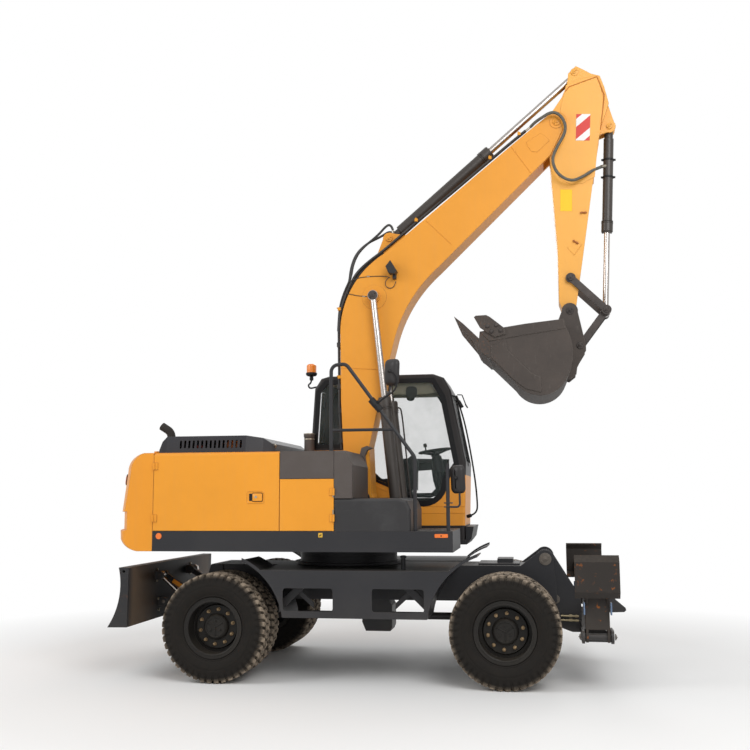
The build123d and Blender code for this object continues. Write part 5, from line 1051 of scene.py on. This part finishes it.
hose("front_rail", [(0.966, 0.385, 1.556), (1.010, 0.372, 1.566), (1.068, 0.360, 1.610), (1.075, 0.360, 1.700),
                    (1.052, 0.360, 1.990), (0.968, 0.360, 2.510), (0.905, 0.360, 2.750), (0.870, 0.365, 2.850),
                    (0.840, 0.375, 2.895), (0.800, 0.385, 2.900), (0.770, 0.395, 2.895)],
     0.0095, rail_black, "upper")
joined("front_rail_head",
       [rod((x, 0.350, z), (x_to, 0.350, z_to), radius, 8) for x, z, x_to, z_to, radius in (
           (0.884, 2.835, 0.925, 2.760, 0.020), (0.858, 2.895, 0.884, 2.835, 0.012),
           (0.960, 2.795, 0.985, 2.755, 0.008), (0.925, 2.900, 0.965, 2.790, 0.006),
           (0.870, 2.905, 0.925, 2.902, 0.006))] + [rod((1.000, 0.365, 1.566), (0.960, 0.390, 1.554), 0.020, 12)],
       rail_black, "upper")
hose("wiper_arm", [(0.955, 0.700, 2.120), (0.962, 0.640, 2.150), (0.930, 0.560, 2.340), (0.905, 0.500, 2.500)],
     0.006, rail_black, "upper")
hose("wiper_blade", [(0.946, 0.500, 2.280), (0.905, 0.500, 2.500), (0.866, 0.500, 2.720)], 0.007, rail_black, "upper")


# The beacon is an amber plastic dome, ringed with fine ribs, on a black base. It is held out from
# the cab's rear on a bent bracket.
def revolved(profile, steps=40, middle=(-0.862, 0.600)):
    """Faces turned about the beacon's upright axis, from (radius, height) pairs, closed at both ends."""
    points = [(middle[0] + radius * cos(2 * pi * step / steps), middle[1] + radius * sin(2 * pi * step / steps), z)
              for radius, z in profile for step in range(steps)]
    return points, quads(len(profile), steps) + caps(len(profile), steps)


# The amber dome glows by painted_glow: painted light, as no lamp lights the beacon from within.
dome = lens("amber_dome", (0.95, 0.27, 0.02, 1), painted_glow=0.18)
dome_profile = [(0.056, 3.228)] + [(0.058 - 0.0015 * (k % 2), 3.232 + 0.0075 * k) for k in range(11)] + [
    (0.054, 3.318), (0.046, 3.327), (0.030, 3.333), (0.010, 3.335)]
joined("beacon_dome", [revolved(dome_profile)], dome, "upper")
base_profile = [(0.030, 3.186), (0.052, 3.192), (0.065, 3.204), (0.066, 3.226), (0.060, 3.231), (0.010, 3.232)]
base = joined("beacon_base", [revolved(base_profile), revolved([(0.022, 3.140), (0.024, 3.160), (0.020, 3.188)])],
              black_trim, "upper")
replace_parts(base, "beacon")
hose("beacon_bracket", [(x, 0.600, z) for x, z in ((-0.735, 3.060), (-0.800, 3.062), (-0.880, 3.040), (-0.905, 3.085),
                                                   (-0.865, 3.110), (-0.862, 3.150))],
     0.010, rail_black, "upper")


# The door is lined inside with a black moulding round its lower pane, and pressed beads stiffen
# the cab's yellow side under the window.
def weld(name, runs, material, body, radius=0.0045, sides=6):
    """Raised beads along lines on a plate, in short passes that ripple a little."""
    parts = []
    for run in runs:
        for a, b in zip(run, run[1:]):
            a, b = Vector(a), Vector(b)
            _, across, third = axes(a, b)
            passes = max(2, int((b - a).length / 0.016))
            points = [point for k in range(passes + 1) for point in
                      circle(a + (b - a) * k / passes, across, third, radius * (1.0 if k % 2 else 0.86), sides)]
            parts.append((points, quads(passes + 1, sides) + caps(passes + 1, sides)))
    joined(name, parts, material, body, smooth_angle=60)


door_lining = [(0.100, 2.235), (0.696, 2.220), (0.685, 1.994), (0.633, 1.886), (0.564, 1.794), (0.462, 1.761),
               (0.285, 1.765), (0.100, 1.800)]
lower_pane = [(0.165, 2.073), (0.466, 2.092), (0.483, 2.094), (0.499, 1.970), (0.528, 1.870), (0.480, 1.820),
              (0.285, 1.818), (0.165, 1.818)]
joined("door_inner_lining", [ring_form(door_lining, lower_pane, 1.188, 1.2015)], shroud, "cab_door")
handle_ends = ((0.300, 1.180, 2.180), (0.560, 1.180, 2.170))
joined("door_inner_handle", [rod(*handle_ends, 0.011, 12)] + [rod((x, y, z), (x, 1.192, z), 0.011, 12)
                                                              for x, y, z in handle_ends],
       black_trim, "cab_door")
cab_wall = 0.3445
weld("cab_side_beads", [[(x, cab_wall, z), (x_to, cab_wall, z_to)] for x, z, x_to, z_to in (
    (0.380, 1.592, 0.935, 1.592), (0.380, 1.665, 0.935, 1.665), (-0.191, 2.020, 0.062, 1.926),
    (-0.125, 1.917, 0.060, 1.834))], body_enamel, "upper", radius=0.0035)


# Boom, arm and cylinders' brackets are welded box sections in the paler yellow of the digging
# gear. Weld beads cross the boom where its plates meet, and one runs round the arm's heel plate in
# a darker orange that is painted shadow along the plate's edge.
boom_enamel = painted("boom_enamel", (0.74, 0.305, 0.034, 1), enamel_worn, dust=0.10, roughness=0.40, coat=0.12,
                      streaks=0.07, bevel=0.008)
dress(boom_enamel, "boom")
arm_enamel = painted("arm_enamel", (0.80, 0.385, 0.070, 1), enamel_worn, dust=0.10, roughness=0.40, coat=0.12,
                     streaks=0.07, bevel=0.008)
dress(arm_enamel, "arm")
# heel_seam_painted_shade is a darker orange than the arm: painted shadow along the heel plate's edge.
heel_seam_painted_shade = painted("heel_seam_painted_shade", (0.48, 0.150, 0.016, 1), (0.25, 0.10, 0.03, 1), dust=0.1, roughness=0.5)
boom_y, arm_y, heel_y = 0.170, 0.120, 0.125


def on_walls(wall, *runs):
    """Lines of (x, z) points, drawn on the right wall and on the left."""
    return [[(x, side * wall, z) for x, z in run] for side, _ in both_sides for run in runs]


weld("boom_seams", on_walls(boom_y + 0.0005, ((0.600, 4.776), (0.872, 4.500)), ((-0.345, 3.172), (0.118, 3.142)),
                            ((1.540, 5.560), (1.745, 5.252))), boom_enamel, "boom")
heel_plate = [(2.150, 6.236), (2.300, 6.300), (2.485, 6.322), (2.545, 6.080), (2.505, 5.700), (2.470, 5.560),
              (2.425, 5.180), (2.300, 5.118), (2.172, 5.106), (2.060, 5.180), (1.985, 5.315), (1.962, 5.510),
              (2.000, 5.640), (2.070, 5.740), (2.085, 5.985)]
tip_cover = [(1.705, 5.600), (1.860, 5.690), (1.905, 5.660), (1.955, 5.600), (1.820, 5.478), (1.760, 5.488),
             (1.722, 5.545)]
for side, name in both_sides:
    joined(f"arm_heel_plate_{name}", [plate(heel_plate, side * (arm_y - 0.001), side * heel_y)], arm_enamel, "arm")
# The heel plate's bead wears the darker orange, painted shadow along the plate's edge.
weld("arm_heel_shade_seams", on_walls(heel_y, ((2.140, 6.163), (2.182, 6.214), (2.483, 6.308), (2.553, 6.096),
                                         (2.547, 6.028), (2.500, 5.703))), heel_seam_painted_shade, "arm", radius=0.006)
weld("arm_seams", on_walls(arm_y + 0.0005, ((2.110, 4.420), (2.180, 4.330), (2.262, 4.440))), arm_enamel, "arm")
for side, name in both_sides:
    joined(f"boom_tip_cover_{name}", [plate(tip_cover, side * (boom_y - 0.001), side * (boom_y + 0.004))],
           boom_enamel, "boom")


# The arm's side carries a red and white warning panel, a small bare yellow plate and two little
# pipe brackets. All are stuck or welded on.
def striped(place):
    """Broad red and white bands, rising to the right."""
    phase = (place.along("Z") - place.along("X") * 0.8 - 3.7352) / 0.2211
    band = phase - place.sum("FLOOR", phase)
    return (band > 0.392).tones((0.80, 0.78, 0.76, 1), (0.62, 0.055, 0.045, 1))


stripes = painted("striped_panel", (0.7, 0.3, 0.3, 1), (0.5, 0.35, 0.3, 1), dust=0.2, roughness=0.45, tone_at=striped)
panel_corners = [(2.236, 5.599), (2.384, 5.589), (2.401, 5.888), (2.250, 5.898)]
for side, name in both_sides:
    joined(f"striped_panel_{name}", [plate(panel_corners, side * (heel_y - 0.001), side * (heel_y + 0.0015),
                                           edge=0.0005)], stripes, "arm")
plain_plate = painted("plain_plate", (0.88, 0.52, 0.02, 1), (0.5, 0.3, 0.05, 1), dust=0.2, roughness=0.5)
joined("plain_plate", [plate([(2.048, 4.821), (2.174, 4.814), (2.182, 5.055), (2.055, 5.063)], -arm_y + 0.001,
                             -arm_y - 0.0015, edge=0.0005)], plain_plate, "arm")
bracket_brown = painted("bracket_brown", (0.40, 0.13, 0.03, 1), (0.2, 0.1, 0.05, 1), dust=0.3, rust=0.6)
brackets = []
for x, z, lean in ((2.292, 4.790, 0.0), (2.200, 4.470, -0.6)):
    for reach, reach_to, proud, proud_to, radius, sides in (
            (-0.035, 0.035, 0.006, 0.006, 0.009, 8), (-0.018, -0.018, -0.002, 0.024, 0.010, 6),
            (0.018, 0.018, -0.002, 0.024, 0.010, 6)):
        brackets.append(rod((x + reach * cos(lean), -arm_y - proud, z + reach * sin(lean)),
                            (x + reach_to * cos(lean), -arm_y - proud_to, z + reach_to * sin(lean)), radius, sides))
joined("pipe_brackets", brackets, bracket_brown, "arm")


# Pins of the digging gear are turned steel with round end plates and keeper bolts, painted with
# what holds them. Its cylinders' mouths are closed by bolted glands.
gear_iron = cast("gear_iron", (0.042, 0.035, 0.032, 1), rough=0.5, grit=0.4)
dress(gear_iron, "side_links", "bucket_link")
for name, spot, material, body, radius in (
        ("boom_rod_pins", (0.020, 0.2865, 3.945), gear_iron, "boom_rods", 0.050),
        ("arm_base_pins", (0.176, 0.085, 4.619), boom_enamel, "boom", 0.034),
        ("arm_pins", (2.034, 0.178, 5.809), boom_enamel, "boom", 0.044),
        ("arm_rod_pins", (2.244, 0.120, 6.381), arm_enamel, "arm", 0.042),
        ("bucket_cylinder_pins", (2.600, 0.084, 5.755), arm_enamel, "arm", 0.032),
        ("link_arm_pins", (2.136, 0.164, 4.078), gear_iron, "arm", 0.034),
        ("link_joint_pins", (2.496, 0.156, 3.720), gear_iron, "side_links", 0.034),
        ("bucket_pins", (2.116, 0.154, 3.720), gear_iron, "arm", 0.040),
        ("bucket_ear_pins", (2.212, 0.154, 3.345), gear_iron, "bucket", 0.038)):
    pin_heads(name, mirrored(*spot), material, body, radius)
for side, name in both_sides:
    gland(f"boom_gland_{name}", (0.287, side * 0.250, 1.400), (0.020, side * 0.250, 3.945), 1.428, 0.070,
          "boom_barrels")
gland("arm_gland", (0.176, 0.0, 4.619), (2.244, 0.0, 6.381), 1.472, 0.072, "arm_barrel")
gland("bucket_gland", (2.600, 0.0, 5.755), (2.496, 0.0, 3.720), 1.157, 0.062, "bucket_barrel")


# Rubber hoses feed the arm's cylinder in loops behind the boom, then run on along its top edge
# under yellow clamps. Thin steel pipes climb each boom cylinder's barrel.
rubber_hose, shader, place = surface("rubber_hose", {})
dulled = place.noise(7.0, 5.0)
(dulled * 1.6 - 0.5).held().tones((0.016, 0.016, 0.017, 1), (0.060, 0.055, 0.050, 1)).into(shader, "Base Color")
(0.45 + dulled * 0.2).held().into(shader, "Roughness")
place.cells(300.0).bump(0.25, 0.0006).into(shader, "Normal")
dress(rubber_hose, "hoses")
for number, (y, points) in enumerate((
        (-0.050, [(0.213, 4.724), (0.200, 4.775), (0.150, 4.790), (0.045, 4.670), (-0.160, 4.515), (-0.240, 4.358),
                  (-0.262, 4.200), (-0.330, 4.060), (-0.372, 3.940), (-0.400, 3.800), (-0.408, 3.600)]),
        (0.050, [(0.190, 4.720), (0.165, 4.745), (0.060, 4.680), (-0.090, 4.618), (-0.225, 4.497), (-0.285, 4.330),
                 (-0.300, 4.170), (-0.360, 4.030), (-0.392, 3.900), (-0.412, 3.760), (-0.414, 3.600)]))):
    hose(f"arm_cylinder_hose_{number}", [(x, y, z) for x, z in points], 0.0135, rubber_hose, "boom")
pipe_line = ((-0.382, 3.700), (-0.345, 3.880), (-0.265, 4.080), (-0.190, 4.225), (-0.060, 4.345), (0.127, 4.475),
             (0.306, 4.622), (0.485, 4.770), (1.000, 5.180), (1.419, 5.520), (1.585, 5.652), (1.700, 5.740))
for number, y in enumerate((-0.148, -0.120)):
    hose(f"boom_top_pipe_{number}", [(-0.372, -0.112, 3.560)] + [(x, y, z) for x, z in pipe_line], 0.0125,
         rubber_hose, "boom")
clamp_yellow = painted("clamp_yellow", (0.72, 0.30, 0.02, 1), (0.3, 0.15, 0.04, 1), dust=0.2)
clamps, clamp_half, run_y = [], Vector((0, 0.036, 0)), -0.134
for x, z, lean in ((-0.372, 3.843, 1.50), (-0.372, 3.087, 1.55), (0.500, 4.800, 0.67), (1.320, 5.460, 0.68),
                   (1.640, 5.712, 0.68)):
    out, foot = Vector((-sin(lean), 0, cos(lean))), Vector((x, run_y, z))
    strap = foot - Vector((cos(lean), 0, sin(lean))) * 0.013
    clamps += [rod(strap - clamp_half, strap + clamp_half, 0.024, 4),
               rod(foot - out * 0.020, foot + out * 0.034, 0.007, 6)]
joined("hose_clamps", clamps, clamp_yellow, "boom")
joined("hose_fittings",
       [rod((-0.061, -0.172, 4.179), (-0.030, -0.172, 4.179), 0.009, 6),
        rod((-0.111, -0.172, 3.959), (-0.080, -0.172, 3.955), 0.009, 6),
        rod((1.700, run_y, 5.740), (1.760, run_y, 5.785), 0.012, 6)],
       dull_zinc, "boom")
joined("arm_barrel_ports", [rod((x, y, 4.680), (x, y, 4.715), 0.017, 6) for x, y in ((0.215, -0.050), (0.195, 0.050))],
       dull_zinc, "arm_barrel")
for name, points in (
        ("lamp_cable", [(0.190, -0.214, 4.150), (0.150, -0.174, 4.176), (-0.061, -0.173, 4.179),
                        (-0.207, -0.174, 4.158), (-0.275, -0.174, 4.120)]),
        ("lamp_cable_loop", [(0.200, -0.214, 4.150), (0.150, -0.200, 4.130), (0.145, -0.190, 4.060),
                             (0.190, -0.180, 4.030), (0.245, -0.176, 4.050), (0.262, -0.180, 4.110)]),
        ("boom_rod_grease_line", [(-0.040, -0.178, 3.952), (-0.111, -0.174, 3.959), (-0.210, -0.174, 3.975),
                                  (-0.300, -0.174, 4.004)])):
    hose(name, points, 0.004, rubber_hose, "boom")
lamp_black = moulded("lamp_black", (0.022, 0.022, 0.023, 1), pebble=0.4)
dress(lamp_black, "work_lamp")
for side, name in both_sides:
    pipe = [(x, side * y, z) for x, y, z in (
        (0.330, 0.300, 1.520), (0.352, 0.330, 1.540), (0.345, 0.330, 1.700), (0.300, 0.330, 2.150),
        (0.262, 0.330, 2.560), (0.240, 0.330, 2.740), (0.225, 0.316, 2.768), (0.205, 0.300, 2.768))]
    hose(f"boom_cylinder_pipe_{name}", pipe, 0.009, barrel_spray, "boom_barrels")


# A braided hose loops from the boom's pipe round the arm's heel to the bucket cylinder. Its tube is
# cut in two pieces: the loop, and the end by the bucket cylinder.
braided, shader, place = surface("braided_hose", {"Roughness": 0.55})
strands = place.cells(150.0, "DISTANCE_TO_EDGE")
aged = ((strands * 3.0).held() * (0.6 + 0.6 * place.noise(9.0, 4.0))).held()
aged.tones((0.035, 0.033, 0.028, 1), (0.190, 0.185, 0.150, 1)).into(shader, "Base Color")
strands.bump(0.5, 0.001).into(shader, "Normal")
loop = [(1.755, -0.134, 5.782), (1.800, -0.170, 5.815), (1.858, -0.215, 5.836), (1.993, -0.235, 5.908),
        (2.098, -0.235, 5.838), (2.141, -0.230, 5.681), (2.022, -0.225, 5.493), (1.970, -0.225, 5.356),
        (2.027, -0.220, 5.200), (2.169, -0.200, 5.117), (2.300, -0.170, 5.175), (2.428, -0.120, 5.272),
        (2.528, -0.050, 5.318)]
drawn = hose("arm_hose_loop_line", loop, 0.0165, braided, "arm")
bpy.context.view_layer.update()
tube = bpy.data.meshes.new_from_object(drawn.evaluated_get(bpy.context.evaluated_depsgraph_get()))
bpy.data.objects.remove(drawn)
tube.shade_smooth()


def stretch(name, wanted):
    """The faces of the hose's tube whose middle is wanted, as a piece of their own."""
    part = tube.copy()
    part.name = name
    form = bmesh.new()
    form.from_mesh(part)
    bmesh.ops.delete(form, geom=[face for face in form.faces if not wanted(face.calc_center_median())], context="FACES")
    form.to_mesh(part)
    form.free()
    piece = mesh_object(name, part, braided)
    return piece


split_x, split_z = 2.314, 5.35
loop_piece = stretch("arm_hose_loop", lambda middle: middle.x < split_x or middle.z > split_z)
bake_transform(loop_piece)
end_piece = stretch("arm_hose_end", lambda middle: middle.x >= split_x and middle.z <= split_z)
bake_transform(end_piece)
joined("arm_hose_end_fitting", [rod((2.500, -0.068, 5.308), (2.548, -0.035, 5.326), 0.019, 12)],
       dull_zinc, "bucket_barrel")


# Two bands are clamped round the bucket cylinder's barrel, flat steel rings with the ends of
# their bolts standing out before and behind.
def collar(start_at, end_at, outer, inner, sides=32):
    """A flat ring round a cylinder, open in the middle."""
    a, b = Vector(start_at), Vector(end_at)
    _, across, third = axes(a, b)
    points = [point for middle, size in ((a, outer), (b, outer), (b, inner), (a, inner))
              for point in circle(middle, across, third, size, sides)]
    return points, quads(4, sides, closed=True)


bands = []
for z in (5.400, 5.205):
    x = 2.582 + 0.0511 * (z - 5.4)
    bands += [collar((x, 0.0, z - 0.010), (x + 0.001, 0.0, z + 0.010), 0.060, 0.049),
              rod((x - 0.058, -0.016, z), (x - 0.076, -0.016, z), 0.012, 6),
              rod((x + 0.058, 0.0, z), (x + 0.078, 0.0, z), 0.012, 6)]
joined("bucket_cylinder_bands", bands, black_trim, "bucket_barrel")


# The bucket is worn steel plate, browned by soil, with shining edges, a ground-down lip and bolted
# side cutters. Its teeth are forged.
soil_steel, shader, place = surface("soil_steel", {"Specular IOR Level": 0.3})
eased, facing = place.eased(0.008), place.facing()
meeting = place.make("VectorMath", {"operation": "DOT_PRODUCT"}, {0: eased, 1: facing}, 1)
edge_wear = ((1.0 - meeting) * 6.0).held()
soil, fine = place.noise(2.6, 8.0, 0.66), place.noise(60.0, 5.0, 0.75)
scratches = place.stretched((26.0, 3.0, 5.0), turn=(0, 0.7, 0)).noise(1.5, 7.0, 0.7)
tone = (soil * 1.6 - 0.35).held().tones((0.042, 0.035, 0.031, 1), (0.082, 0.066, 0.057, 1))
tone = ((scratches - 0.60) * 5.0).held().tones(tone, (0.12, 0.104, 0.092, 1))
lip_rust = (((1.45 - place.along("X")) * 3.0).held() * ((fine - 0.56) * 9.0).held() * 0.75).held()
tone = lip_rust.tones(tone, (0.27, 0.095, 0.032, 1))
(edge_wear * fine * 0.9).held().tones(tone, (0.26, 0.23, 0.20, 1)).into(shader, "Base Color")
(0.58 - edge_wear * 0.2 + (soil - 0.5) * 0.3).held().into(shader, "Roughness")
(edge_wear * 0.5 + 0.15).held().into(shader, "Metallic")
(fine + scratches * 0.5).bump(0.3, 0.0015, eased).into(shader, "Normal")
dress(soil_steel, "bucket")
bolts("cutter_bolts", [((x, side * 0.5155, z), (0, side, 0)) for side, _ in both_sides
                       for x, z in ((1.262, 3.520), (1.352, 3.530), (1.300, 3.462), (1.395, 3.470))],
      gear_iron, "bucket", size=0.019, height=0.012, washer=0.024)
weld("bucket_welds", on_walls(0.4905, ((1.292, 3.384), (1.591, 3.430), (2.030, 3.486))), soil_steel, "bucket",
     radius=0.005)


# Behind the boom's foot, feed hoses and thin cables rise from the deck toward the boom. Two are
# rubber hoses, one cable is sheathed red, and a thin brass pipe runs beside them.
for number, (material, radius, points) in enumerate((
        (rubber_hose, 0.015, [(-0.300, -0.285, 1.700), (-0.300, -0.285, 1.860), (-0.235, -0.280, 1.990),
                              (-0.205, -0.240, 2.160)]),
        (rubber_hose, 0.015, [(-0.340, -0.280, 1.700), (-0.345, -0.280, 1.880), (-0.270, -0.280, 2.020),
                              (-0.225, -0.240, 2.230)]),
        (red_hose, 0.007, [(-0.250, -0.292, 1.720), (-0.240, -0.292, 1.930), (-0.190, -0.285, 2.040),
                           (-0.180, -0.240, 2.150)]),
        (brass_pipe, 0.004, [(-0.220, -0.292, 1.720), (-0.215, -0.292, 1.850), (-0.240, -0.285, 1.960),
                             (-0.190, -0.240, 2.080)]))):
    hose(f"boom_foot_hose_{number}", points, radius, material, "upper")
